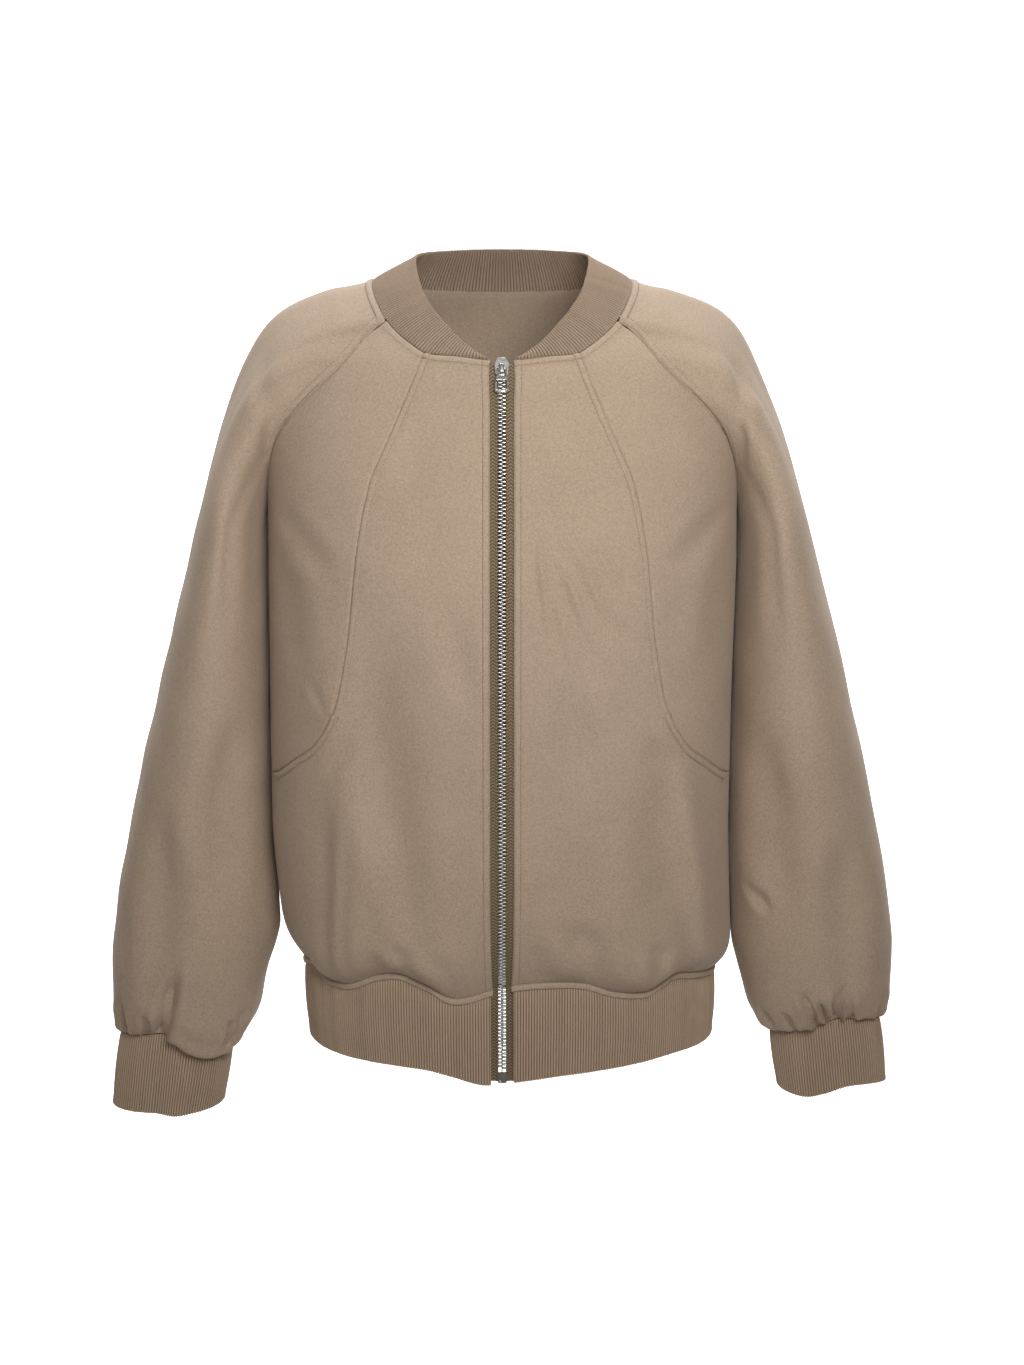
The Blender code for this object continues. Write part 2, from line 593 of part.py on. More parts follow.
def back_rows():
    """Turns and heights of the back's grid, for its right half from the centre out."""
    half = (BACK_COLUMNS + 1) // 2
    across = np.linspace(0, 1, half)
    top_turn, top_z = neck_turns(np.linspace(1, BACK_RAGLAN_SHARE, half), behind=True)
    low_turn = 2 - SIDE_SEAM_TURN * across
    low_z = hem_seam(low_turn) + SEAM_GAP
    shares = shares_of(BACK_EDGE_Z, low_z[-1])
    turns, heights = [top_turn], [top_z]
    for share in shares[1:-1]:
        z = top_z + (low_z - top_z) * share
        seam = outer_x(BACK_RAGLAN, z[-1]) - SEAM_GAP / 2
        edge = max(float(turn_at(seam, z[-1], True)), 2 - SIDE_SEAM_TURN)
        turns.append(2 + (edge - 2) * across)
        heights.append(z)
    turns.append(low_turn)
    heights.append(low_z)
    return np.stack(turns), np.stack(heights)


def hem_nodes():
    """Turns from one side of the zip round the back to the other where panels meet the band."""
    right = centre_rows(1)[0][-1]
    back = back_rows()[0][-1][::-1]
    half = np.concatenate([right, back])
    return np.concatenate([half, 4 - half[::-1][1:]])


def front_centre(name, sign):
    """The centre front, from the zip to the princess seam, and below the pocket to the side."""
    return panel(name, *centre_rows(sign))


def front_side(name, sign):
    """The side front, from the princess seam and the pocket mouth to the raglan and side seams."""
    turns, heights = side_rows()
    return panel(name, turns * sign, heights)


def back_panel():
    """The back in one piece, between the two raglan seams and the two side seams."""
    turns, heights = back_rows()
    hem_left = 4 - turns
    turns = np.concatenate([turns[:, ::-1], hem_left[:, 1:]], axis=1)
    heights = np.concatenate([heights[:, ::-1], heights[:, 1:]], axis=1)
    signed = np.where(turns > 2, turns - 4, turns)
    heights[-1] = hem_seam(signed[-1]) + SEAM_GAP
    return panel("back", signed, heights)


def pocket_edge(name, sign):
    """The narrow band along a pocket's mouth, lying on the centre front."""
    rows = 9
    z = np.linspace(PRINCESS["z"][-1] - 2, POCKET_MOUTH["z"][-1] + 5, rows)
    x = princess_x(z)
    slope = np.gradient(x, z)
    away = unit(np.stack([np.ones(rows), slope], axis=-1))
    grids = []
    for offset in np.linspace(0.7, POCKET_BAND, 3):
        grids.append((x - away[:, 0] * offset, z + away[:, 1] * offset))
    turns = np.stack([turn_at(gx, gz) * sign for gx, gz in grids])
    heights = np.stack([gz for _, gz in grids])
    return panel(name, turns, heights, thick=POCKET_RISE - 0.35, lift=POCKET_RISE)


# Sleeves and cuffs


def sleeve_ring(side, turn, z):
    """Points of the sleeve's tube: turn 0 towards the body, 0.25 front, 0.5 outer, 0.75 back."""
    angle = np.asarray(turn, float) * 2 * math.pi
    outer = smooth(SLEEVE, "z", f"{side}_outer", z)
    inner = smooth(SLEEVE, "z", f"{side}_inner", z)
    x = (outer + inner) / 2 - (outer - inner) / 2 * np.cos(angle)
    y = smooth(SLEEVE, "z", "middle_y", z) - smooth(SLEEVE, "z", "half_depth", z) * np.sin(angle)
    return np.stack([x, y, np.broadcast_to(np.asarray(z, float), x.shape)], axis=-1)


def cuff_ring(side, turn, share):
    """Points of a cuff, from its seam at share 0 to its edge at share 1."""
    cuff, waves = CUFFS[side], CUFF_WAVES[side]
    angle = np.asarray(turn, float) * 2 * math.pi
    middle = cuff["seam_x"] + (cuff["edge_x"] - cuff["seam_x"]) * share
    x = middle - cuff["half"] * np.cos(angle)
    y = CUFF_MIDDLE_Y - cuff["depth"] * np.sin(angle)
    seam = cuff["seam"] + smooth(waves, "turn", "seam", turn)
    edge = cuff["edge"] + smooth(waves, "turn", "edge", turn)
    return np.stack([x, y, seam + (edge - seam) * share], axis=-1)


def raglan_edge(sign, behind):
    """Heights, points and normals of the panel edge that a sleeve is sewn to, armpit first."""
    if behind:
        turns, heights = back_rows()
    else:
        turns, heights = side_rows()
    turns, heights = turns[:, -1], heights[:, -1]
    above = heights >= ARMPIT_Z
    turns, heights = turns[above][::-1], heights[above][::-1]
    mirror = np.array([sign, 1, 1])
    turns = turns * sign
    return heights, torso(turns, heights) * mirror, torso_normal(turns, heights) * mirror


def sleeve_turns():
    """Places round the sleeve: raglan nodes in front, nodes at the neck, raglan nodes behind."""
    front = np.linspace(0, NECK_TURNS[0], RAGLAN_NODES)
    neck = np.linspace(*NECK_TURNS, NECK_SIDE_NODES)[1:-1]
    return np.concatenate([front, neck, (1 - front)[::-1][:-1]])


def raglan_loop(sign, turn):
    """Points, normals and leading directions of a sleeve's sewn edge, turned to the right side."""
    edges = (raglan_edge(sign, False), raglan_edge(sign, True))
    neck_from = NECK_TURNS[0]
    points, normals, leads = [], [], []
    for t in turn:
        mirrored = min(t, 1 - t)
        climb = min(mirrored / neck_from, 1) ** 1.25
        if mirrored <= neck_from + 1e-9:
            heights, line, faced = edges[int(t > 0.5)]
            z = heights[0] + (heights[-1] - heights[0]) * climb
            point = np.array([np.interp(z, heights, line[:, k]) for k in range(3)])
            normal = np.array([np.interp(z, heights, faced[:, k]) for k in range(3)])
        else:
            share = (t - neck_from) / (NECK_TURNS[1] - neck_from)
            share = FRONT_RAGLAN_SHARE + (BACK_RAGLAN_SHARE - FRONT_RAGLAN_SHARE) * share
            point, normal = neck_line(share)
            point = point - (0, 0, SEAM_GAP)
        near_armpit = math.exp(-((mirrored / 0.03) ** 2))
        lead_x = float(smooth(SHOULDER_LEAD, "climb", "x", climb))
        lead_z = float(smooth(SHOULDER_LEAD, "climb", "z", climb))
        lead = np.array([lead_x, 0, lead_z])
        flat = unit(lead - unit(normal) * (lead @ unit(normal)))
        lead = unit(flat * (1 - near_armpit) + lead * near_armpit)
        normal = normal * (1 - near_armpit) + np.array([0.25, 0, -0.97]) * near_armpit
        gap = SLEEVE_GAP * (1 + NECK_GAP_GROWTH * climb**3)
        points.append(point + lead * gap + np.array([ARMPIT_OUT, 0, 0]) * near_armpit)
        normals.append(normal)
        leads.append(lead)
    return np.array(points), np.array(normals), np.array(leads)


def sleeve_points(side):
    """The outer grid of a sleeve, seam row first, and the normals of that row."""
    turn = sleeve_turns()
    loop, loop_normals, leads = raglan_loop(CUFFS[side]["sign"], turn)
    ring_z = float(SLEEVE["z"][0])
    first = sleeve_ring(side, turn, np.full(len(turn), ring_z))
    down = unit(sleeve_ring(side, turn, np.full(len(turn), ring_z - 30)) - first)
    chord = np.linalg.norm(first - loop, axis=1)[:, None]
    pull_seam = smooth(SHOULDER_PULL, "turn", "at_seam", turn)[:, None] * chord
    pull_ring = smooth(SHOULDER_PULL, "turn", "at_ring", turn)[:, None] * chord
    corner = SHOULDER_CORNER
    near_top = np.exp(-(((turn - 0.5) / corner["turn_spread"]) ** 2))[:, None]
    outward = np.array([corner["x"], 0, corner["z"]]) * corner["rise"] * near_top
    rows = []
    for s in SHOULDER_ROWS:
        blend = (2 * s**3 - 3 * s**2 + 1) * loop + (3 * s**2 - 2 * s**3) * first
        blend = blend + (s**3 - 2 * s**2 + s) * pull_seam * leads + (s**3 - s**2) * pull_ring * down
        lifted = math.exp(-(((s - corner["at"]) / corner["spread"]) ** 2)) * min(s / 0.08, 1)
        rows.append(blend + outward * lifted)
    seam = cuff_ring(side, turn, 0.0)
    low = seam[:, 2] + SEAM_GAP
    for share in ARM_ROWS:
        z = ring_z + (low - ring_z) * share
        full = sleeve_ring(side, turn, z)
        drawn = np.clip(1 - (z - low) / PUFF_HEIGHT, 0, 1)[:, None] ** 3
        ring = full + (seam - full) * drawn
        ring[:, 2] = z
        rows.append(ring)
    return fold_grid(side, np.stack(rows), turn), loop_normals


def fold_grid(side, grid, turn):
    """The sleeve's grid with its folds, fading out at the sewn edges."""
    turns = np.broadcast_to(turn, grid.shape[:2])
    folds = []
    for fold in SLEEVE_FOLDS[side]:
        folds.append(dict(fold, turn=(fold["turn"][0] * SLEEVE_ROUND, fold["turn"][1] * SLEEVE_ROUND)))
    rise = fold_rise(folds, turns * SLEEVE_ROUND, grid[..., 2], "turn")
    fade = np.ones(len(grid))
    fade[0], fade[1], fade[-1] = 0.0, 0.5, 0.0
    normal = grid_normal(grid, True, grid - grid.mean(axis=1, keepdims=True))
    return grid + normal * (rise * fade[:, None])[..., None]


def sleeve(name, side):
    grid, loop_normals = sleeve_points(side)
    middle = grid.mean(axis=1, keepdims=True)
    normals = grid_normal(grid, True, grid - middle)
    normals[0] = loop_normals
    mirror = np.array([CUFFS[side]["sign"], 1, 1])
    return wall(name, grid * mirror, (grid - normals * CLOTH) * mirror, "cloth", wrapped=True)


# Ribbed pieces: collar, hem band and cuffs


def ribbed(name, top, bottom, normals, wrapped=False, inner_step=9):
    """A band with raised ribs over a plain inside, between two lines of points."""
    rise = np.where(np.arange(len(top)) % 2 == 0, 0.0, RIB_RISE)[:, None]
    outer = np.stack([top + normals[0] * rise, bottom + normals[1] * rise])
    keep = np.arange(0, len(top), inner_step)
    if not wrapped and keep[-1] != len(top) - 1:
        keep = np.append(keep, len(top) - 1)
    inner = np.stack([top - normals[0] * RIB_WALL, bottom - normals[1] * RIB_WALL])[:, keep]
    return wall(name, outer, inner, "rib", wrapped)


def both_halves(points):
    """A line of the right half's points and its mirror image, from the left end to the right."""
    return np.concatenate([points * (-1, 1, 1), points[::-1][1:]])


def collar():
    """The standing collar: it leans in from the neck seam and narrows towards the zip."""
    shares = np.linspace(COLLAR_START, 1, COLLAR_RIBS + 1)
    base, seam_normal = neck_line(shares)
    top = along(COLLAR_EDGE, shares)
    tangent = unit(np.gradient(base, axis=0))
    rising = unit(top - base)
    normal = unit(np.cross(tangent, rising))
    normal = normal * np.sign(normal[:, 2].sum())
    climb = unit(np.cross(tangent, seam_normal))
    climb = climb * np.sign((climb * rising).sum())
    base = base + climb * SEAM_GAP
    halves = [both_halves(line) for line in (top, base)]
    normals = [both_halves(line) for line in (normal, seam_normal)]
    return ribbed("collar", halves[0], halves[1], normals)


def even_turns(start, end, z, pitch):
    """Turns round the hem band that lie one pitch apart along its outline."""
    fine = np.linspace(start, end, 4001)
    points = section(BAND, fine, np.full(len(fine), z))
    length = np.concatenate([[0], np.cumsum(np.linalg.norm(np.diff(points, axis=0), axis=1))])
    count = int(round(length[-1] / pitch / 2)) * 2
    return np.interp(np.linspace(0, length[-1], count + 1), length, fine)


def hem_band():
    """The hem band, from one side of the zip round the back to the other."""
    half_width, power = BAND["half_width"][0], BAND["front_power"][0]
    start = math.asin((OPENING_HALF / half_width) ** (power / 2)) * 2 / math.pi
    turns = even_turns(start, 4 - start, -600.0, RIB_PITCH / 2)
    signed = np.where(turns > 2, turns - 4, turns)
    nodes = hem_nodes()
    node_heights = hem_seam(np.where(nodes > 2, nodes - 4, nodes))
    top_z, bottom_z = np.interp(turns, nodes, node_heights), band_edge(signed)
    top, bottom = section(BAND, signed, top_z), section(BAND, signed, bottom_z)
    normals = []
    for points in (top, bottom):
        tangent = np.gradient(points, axis=0)
        normals.append(unit(np.cross(tangent, (0, 0, 1.0))))
    normals = [n * np.sign((n * points * (1, 1, 0)).sum()) for n, points in zip(normals, (top, bottom))]
    return ribbed("hem_band", top, bottom, normals)


def cuff(name, side):
    half, depth = CUFFS[side]["half"], CUFFS[side]["depth"]
    round_length = math.pi * (3 * (half + depth) - math.sqrt((3 * half + depth) * (half + 3 * depth)))
    points = int(round(round_length / RIB_PITCH)) * 2
    turn = np.arange(points) / points
    mirror = np.array([CUFFS[side]["sign"], 1, 1])
    top, bottom = cuff_ring(side, turn, 0.0), cuff_ring(side, turn, 1.0)
    nodes = np.append(sleeve_turns(), 1.0)
    top[:, 2] = np.interp(turn, nodes, cuff_ring(side, nodes, 0.0)[:, 2])
    angle = turn * 2 * math.pi
    normal = unit(np.stack([-np.cos(angle) / half, -np.sin(angle) / depth, angle * 0], axis=-1))
    top, bottom, normal = top * mirror, bottom * mirror, normal * mirror
    return ribbed(name, top, bottom, (normal, normal), wrapped=True, inner_step=6)


# Zip


def front_line(x, z):
    """The depth of the cloth's outer surface at a place on the front."""
    z = np.asarray(z, float)
    return torso(turn_at(np.full(z.shape, x), z), z)[..., 1]


def zip_line(z):
    return front_line(0.0, z)


def zip_rows(top, bottom, sign):
    """Heights of the zip's points: those of the cloth beside it, and a few down the hem band."""
    _, heights = centre_rows(sign)
    beside = heights[:, 0]
    inside = beside[(beside < top - 4) & (beside > bottom + 4)]
    last = np.linspace(beside[-1], bottom, 4)[1:]
    return np.concatenate([[top], inside, last])


def strip(name, x_limits, z_limits, front, back, colour):
    """An upright bar that follows the front, between two x and two distances behind it."""
    z = zip_rows(*z_limits, -1 if x_limits[1] < 0 else 1)
    outer, inner = [], []
    for x in x_limits:
        y = front_line(x, z)
        outer.append(np.stack([np.full(len(z), x), y + front, z], axis=-1))
        inner.append(np.stack([np.full(len(z), x), y + back, z], axis=-1))
    return wall(name, np.stack(outer), np.stack(inner), colour)


def tape(name, sign):
    limits = (sign * TAPE["inner"], sign * TAPE["outer"])
    behind = TAPE["behind"]
    return strip(name, limits, (ZIP_TOP_Z, ZIP_END_Z - TAPE["past_end"]), behind, behind + TAPE["thick"], "tape")


def box_points(low, high):
    corners = [(x, y, z) for x in (low[0], high[0]) for y in (low[1], high[1]) for z in (low[2], high[2])]
    faces = [(0, 1, 3, 2), (4, 6, 7, 5), (0, 4, 5, 1), (2, 3, 7, 6), (0, 2, 6, 4), (1, 5, 7, 3)]
    return corners, faces


def zip_box():
    y = float(zip_line(BOX["top"]))
    low = (-BOX["half"], y + BOX["front"], BOX["bottom"])
    high = (BOX["half"], y + BOX["back"], BOX["top"])
    points, faces = box_points(low, high)
    obj = make_object("zip_box", points, faces, "metal")
    bevel = obj.modifiers.new("Rounded", "BEVEL")
    bevel.width = 0.6 * MM
    bevel.segments = 2
    return obj


def extruded(name, outline, half, parent):
    """A prism across the zip: an outline in depth and height, run from -half to half."""
    count = len(outline)
    points = [(-half, y, z) for y, z in outline] + [(half, y, z) for y, z in outline]
    faces = [tuple(range(count)), tuple(range(2 * count - 1, count - 1, -1))]
    for k in range(count):
        after = (k + 1) % count
        faces.append((k, count + k, count + after, after))
    return make_object(name, points, faces, "metal", parent)


def slider_frame():
    """An empty on the front at the slider, leaning as the front does there."""
    frame = bpy.data.objects.new("slider_frame", None)
    bpy.context.scene.collection.objects.link(frame)
    lean = float(zip_line(SLIDER_Z - 14) - zip_line(SLIDER_Z)) / 14
    frame.location = (0, float(zip_line(SLIDER_Z)) * MM, SLIDER_Z * MM)
    frame.rotation_euler = (math.atan(lean), 0, 0)
    return frame


def slider(frame):
    """Two plates joined above the chain, and the bridge that holds the pull tab."""
    face, plate = SLIDER["face"], SLIDER["plate"]
    back_face = CHAIN["back"] + 0.35
    back = back_face + SLIDER["back_plate"]
    top, low = SLIDER["top"], SLIDER["top"] - SLIDER["length"]
    post = top - SLIDER["post"]
    body = extruded(
        "zip_slider",
        [(face, top), (back, top), (back, low), (back_face, low), (back_face, post),
         (face + plate, post), (face + plate, low), (face, low)],
        SLIDER["half"],
        frame,
    )
    rise = face - BRIDGE["rise"]
    under = rise + BRIDGE["thick"]
    root = face + 0.3
    high, bottom, leg = BRIDGE["top"], BRIDGE["bottom"], BRIDGE["leg"]
    arch = extruded(
        "slider_bridge",
        [(root, high), (root, high - leg), (under, high - leg), (under, bottom + leg),
         (root, bottom + leg), (root, bottom), (rise, bottom + 0.8), (rise, high - 0.8)],
        BRIDGE["half"],
        frame,
    )
    arch.hide_render = True
    arch.display_type = "WIRE"
    join = body.modifiers.new("Bridge", "BOOLEAN")
    join.operation = "UNION"
    join.object = arch
    return body


def cells(name, x_cuts, z_cuts, kept, thick, colour, parent):
    """A flat plate made of the kept cells between cuts, with straight sides round every gap."""
    points, index, faces = [], {}, []

    def corner(i, j, side):
        key = (i, j, side)
        if key not in index:
            index[key] = len(points)
            points.append((x_cuts[i], thick / 2 if side else -thick / 2, z_cuts[j]))
        return index[key]

    for i, j in sorted(kept):
        ring = ((i, j), (i + 1, j), (i + 1, j + 1), (i, j + 1))
        faces.append(tuple(corner(a, b, 0) for a, b in ring))
        faces.append(tuple(corner(a, b, 1) for a, b in ring[::-1]))
        sides = (((i, j - 1), 0, 1), ((i + 1, j), 1, 2), ((i, j + 1), 2, 3), ((i - 1, j), 3, 0))
        for neighbour, first, second in sides:
            if neighbour in kept:
                continue
            a, b = ring[first], ring[second]
            faces.append((corner(*b, 0), corner(*a, 0), corner(*a, 1), corner(*b, 1)))
    return make_object(name, points, faces, colour, parent)


def pull_tab(frame):
    """The pull tab: its eye runs round the bridge, and its origin is on the hinge's axis."""
    pivot = bpy.data.objects.new("pull_pivot", None)
    bpy.context.scene.collection.objects.link(pivot)
    pivot.parent = frame
    axis_out = SLIDER["face"] - (BRIDGE["rise"] - BRIDGE["thick"]) / 2
    axis_down = (BRIDGE["top"] + BRIDGE["bottom"]) / 2
    pivot.location = (0, axis_out * MM, axis_down * MM)
    p = PULL
    x_cuts = (-p["half"], -p["neck_half"], -p["slot_half"], -p["eye_half"],
              p["eye_half"], p["slot_half"], p["neck_half"], p["half"])
    z_cuts = (p["end"], p["slot_end"], p["slot_top"], p["eye_end"] - 1.2, p["eye_end"],
              -p["bar"], p["bar"])
    kept = set()
    for i in range(7):
        for j in range(6):
            wide = 1 <= i <= 5
            in_slot = j == 1 and 2 <= i <= 4
            in_eye = j == 4 and i == 3
            if (j <= 2 or wide) and not in_slot and not in_eye:
                kept.add((i, j))
    tab = cells("zip_pull", x_cuts, z_cuts, kept, p["thick"], "metal", pivot)
    return tab


def main():
    clear_scene()
    for side, sign in (("left", -1), ("right", 1)):
        front_centre(f"front_centre_{side}", sign)
        front_side(f"front_side_{side}", sign)
        pocket_edge(f"pocket_edge_{side}", sign)
        sleeve(f"sleeve_{side}", side)
        cuff(f"cuff_{side}", side)
        tape(f"zip_tape_{side}", sign)
    back_panel()
    collar()
    hem_band()
    chain_x = (-CHAIN["half"], CHAIN["half"])
    strip("zip_chain", chain_x, (ZIP_TOP_Z, ZIP_END_Z), CHAIN["front"], CHAIN["back"], "metal")
    zip_box()
    frame = slider_frame()
    slider(frame)
    pull_tab(frame)
    bpy.context.view_layer.update()


main()
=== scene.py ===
import math

import bpy
import numpy as np
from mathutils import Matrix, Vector, kdtree


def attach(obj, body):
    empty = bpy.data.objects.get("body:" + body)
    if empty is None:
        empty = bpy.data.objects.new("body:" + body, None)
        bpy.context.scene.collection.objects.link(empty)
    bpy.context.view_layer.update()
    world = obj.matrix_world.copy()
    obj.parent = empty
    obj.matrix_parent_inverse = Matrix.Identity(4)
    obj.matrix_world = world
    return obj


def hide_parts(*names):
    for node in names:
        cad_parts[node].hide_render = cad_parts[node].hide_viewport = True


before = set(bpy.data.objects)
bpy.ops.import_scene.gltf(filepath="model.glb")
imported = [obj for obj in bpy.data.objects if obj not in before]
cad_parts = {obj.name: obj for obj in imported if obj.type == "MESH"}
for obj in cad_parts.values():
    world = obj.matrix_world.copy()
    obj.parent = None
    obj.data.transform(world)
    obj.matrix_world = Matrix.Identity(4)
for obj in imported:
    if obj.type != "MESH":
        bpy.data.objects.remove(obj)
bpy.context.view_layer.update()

# Bomber jacket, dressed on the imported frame. Tables are in millimetres, objects in metres. The
# forms, seams and main folds are those of the solids; the cloth here is finer: seams roll in,
# stitched seam allowances stand up, creases have soft lips, and the rib knit has real ribs.

MM = 0.001
SIDES = dict(left=-1, right=1)  # as in the photograph, and the sign of x on each

# Driving sizes, in millimetres
CLOTH = 2.0
RIB_WALL = 2.2
RIB_RISE = 0.6
RIB_PITCH = 2.25
SEAM_GAP = 0.35
OPENING_HALF = 9.3
ARMPIT_Z = -185.0
TUCK_HEIGHT = 44.0
TUCK_HEIGHT_AT_ZIP = 150.0
TUCK_ZIP_SPREAD = 38.0
TUCK_POWER = 3.4
BAND_MIDDLE_Z = -600.0
FRONT_LOW_Z = -570.0

# Torso form: half width, depth in front and behind, and how square each side's section is
TORSO = dict(
    z=(12, -10, -33, -60, -98, -140, -185, -230, -320, -400, -470, -530, -600, -660),
    half_width=(152, 166, 184, 197, 198, 195.5, 194, 194, 193.2, 193, 192.3, 190.5, 190, 190),
    front=(62, 72, 88, 106.5, 121, 134, 144, 150, 149, 146, 145, 144.5, 144, 144),
    back=(74, 84, 98, 110, 119, 125, 128, 128, 124, 121, 121, 122, 122, 122),
    front_power=(1.5, 1.5, 1.55, 1.8, 2.1, 2.35, 2.45, 2.5, 2.5, 2.5, 2.5, 2.5, 2.5, 2.5),
    back_power=(1.6, 1.6, 1.8, 2.0, 2.2, 2.4, 2.45, 2.5, 2.5, 2.5, 2.5, 2.5, 2.5, 2.5),
)

# How far the lower body hangs over to one side, at its sides
SWAY = dict(z=(-230, -350, -440, -525, -560, -600, -660), shift=(0, -1.5, -1.8, 2.7, 5, 7, 7))
SWAY_POWER = 1.5

# Hem band form
BAND = dict(
    z=(-540, -660),
    half_width=(175, 172),
    front=(123, 121),
    back=(114, 112),
    front_power=(2.4, 2.4),
    back_power=(2.4, 2.4),
)

# Seam between body and hem band, and the band's lower edge: height against x
HEM_SEAM_FRONT = dict(
    x=(-168, -162, -155.5, -151.5, -149.5, -146, -140, -130, -120, -100, -83, -71, -57, -46, -38,
       -25, -11, 11, 47, 67, 89, 104, 117, 130, 143, 156, 182),
    z=(-576, -567.5, -564, -562.5, -566.5, -572.5, -575.5, -575.5, -573, -563, -560, -564, -570, -577, -579,
       -577, -572, -567, -565, -567, -575, -578, -579, -573, -568, -571, -579),
)
HEM_SEAM_BACK = dict(
    x=(-168, -140, -105, -70, -35, 0, 40, 80, 115, 145, 182),
    z=(-576, -565, -573, -565, -562, -571, -564, -573, -566, -566, -579),
)
BAND_EDGE_FRONT = dict(
    x=(-168, -119, -84, -60, -43, -13, 16, 47, 80, 114, 147, 182),
    z=(-633, -634, -635, -637, -641, -648, -645, -641, -638, -635, -632, -633),
)
BAND_EDGE_BACK = dict(x=(-168, 0, 182), z=(-633, -636, -633))

# Seams of the right half of the torso, x against height; the left half mirrors them
FRONT_RAGLAN = dict(
    z=(-29, -36, -56, -75, -93, -111, -127, -146, -165, -185),
    x=(92, 104, 121, 140, 159, 174.5, 184, 190.5, 193, 194),
)
BACK_RAGLAN = dict(
    z=(-6, -30, -60, -95, -125, -150, -170, -185),
    x=(80, 101, 125, 151, 172, 186, 192.5, 194),
)
PRINCESS = dict(
    z=(-53, -77, -103, -130, -148, -167, -185, -207, -238, -273, -302, -327, -337),
    x=(61, 71, 82, 94, 102, 107.4, 111, 114.5, 118, 121.4, 126, 131, 134),
)
POCKET_MOUTH = dict(
    z=(-337, -349, -356, -370, -382, -398, -403),
    x=(134, 139, 143, 153, 167, 184, 190.5),
)
POCKET_BAND = 5.0
POCKET_RISE = 1.2
POCKET_START = 0.4
POCKET_STITCH = 3.9
POCKET_UNDER = 0.12

# Neck seam of the right half, from the zip round to the centre back
NECK_SEAM = dict(
    x=(9.3, 36, 61, 71, 82, 92, 100, 105, 106, 103, 94, 80, 42, 0),
    y=(-105, -103.5, -96.5, -90, -80, -64, -45, -22, 2, 26, 48, 64, 80, 84.5),
    z=(-58.5, -55.5, -53, -47, -39, -29, -16, -5, 1, 1.5, -1.5, -6, -9, -10),
)
COLLAR_EDGE = dict(
    x=(13, 31, 45, 52, 58, 63, 67, 70, 71, 69.5, 64, 54, 28, 0),
    y=(-103, -92.5, -80, -71.5, -61, -47, -30, -10, 8, 26, 42, 54, 65, 68),
    z=(-56.5, -44, -30, -22.5, -14.5, -7, 3, 13, 19, 22, 23.5, 24.5, 26, 26.5),
)
COLLAR_RIBS = 240

# Sleeve form: horizontal rings below the shoulder, each arm's distances from the middle
SLEEVE = dict(
    z=(-205, -265, -334, -400, -460, -500, -537, -556, -572, -603, -640),
    left_outer=(254.5, 270, 287, 303.5, 316.5, 324.5, 330, 332, 333, 334, 332),
    left_inner=(195.9, 195.0, 194.7, 194.7, 193.8, 191.2, 189.4, 193.7, 199, 205.4, 212),
    right_outer=(255.3, 271.7, 289.3, 304.8, 317.8, 325.5, 330.5, 332, 332, 331.3, 329.5),
    right_inner=(195.4, 193.8, 192.2, 191.3, 191.1, 192.4, 194.2, 196, 199.9, 207.5, 214),
    middle_y=(-4, -5, -6, -7, -8, -8.6, -9.3, -9.8, -10.2, -11, -12),
    half_depth=(92, 88, 82, 75.5, 67, 62.5, 59, 58, 57.2, 55, 51),
)
SHOULDER_PULL = dict(
    turn=(0.0, 0.12, 0.25, 0.4, 0.5, 0.6, 0.75, 0.88, 1.0),
    pull=(0.8, 0.9, 1.15, 1.5, 1.62, 1.5, 1.15, 0.9, 0.8),
)
SHOULDER_LEAD = dict(climb=(0.0, 0.5, 1.0), x=(0.72, 0.82, 0.95), z=(-0.7, -0.55, -0.31))
SHOULDER_CORNER = dict(
    left=dict(rise=13.0, at=0.22, spread=0.22, x=0.64, z=0.77, pull_seam=1.0, pull_ring=1.0),
    right=dict(rise=14.0, at=0.257, spread=0.206, x=0.41, z=0.91, pull_seam=0.92, pull_ring=0.96),
)
CORNER_TURNS = 0.2
SHOULDER_NORMAL = (0.42, 0.0, 0.91)
NECK_TURNS = (0.43, 0.57)
PUFF_HEIGHT = 34.0
SLEEVE_ROUND = 390.0

# Each cuff: seam and edge heights, middle at the seam and at the edge, half width and half depth
CUFFS = dict(
    left=dict(seam=-634.0, edge=-699.0, seam_x=279.0, edge_x=288.0, half=48.0, depth=29.0),
    right=dict(seam=-623.0, edge=-676.0, seam_x=276.0, edge_x=283.0, half=46.5, depth=28.0),
)
CUFF_MIDDLE_Y = -14.0

# Waves of the two cuff seams and edges, against the turn round the cuff
CUFF_WAVES = dict(
    turn=(0.0, 0.08, 0.16, 0.22, 0.28, 0.36, 0.5, 0.62, 0.75, 0.88, 1.0),
    left_seam=(-1, -9, -15, -9, 5, 2, 0, 3, -4, 2, -1),
    left_edge=(4, 1, -2, -4, -1, -1, 0, 0, 1, 2, 4),
    right_seam=(-8, -7, -4, 1, 7, 5, 2, 4, -3, 1, -8),
    right_edge=(-6, -9, -11, -7, -1, 0, -2, -1, -2, -4, -6),
)

# Zip, slider and pull tab
TAPE = dict(inner=3.6, outer=13.5, thick=0.9, behind=RIB_WALL + 0.8, past_end=8)
CHAIN = dict(half=3.2, front=1.5, back=3.9)
ZIP_TOP_Z = -62.0
ZIP_END_Z = -636.5
BOX = dict(half=3.6, top=-636.9, bottom=-645.5, front=0.8, back=4.2)
SLIDER = dict(top=4.2, half=6.0, length=15.5, plate=1.2, face=-0.4)
BRIDGE = dict(half=1.9, top=-1.4, bottom=-10.2, leg=1.4, rise=3.6, thick=1.1)
PULL = dict(thick=1.4, bar=0.7, eye_half=2.3, neck_half=3.9, eye_end=-6.2, half=5.5,
            slot_half=3.7, slot_top=-9.6, slot_end=-17.4, end=-20.0)
SLIDER_Z = -60.5

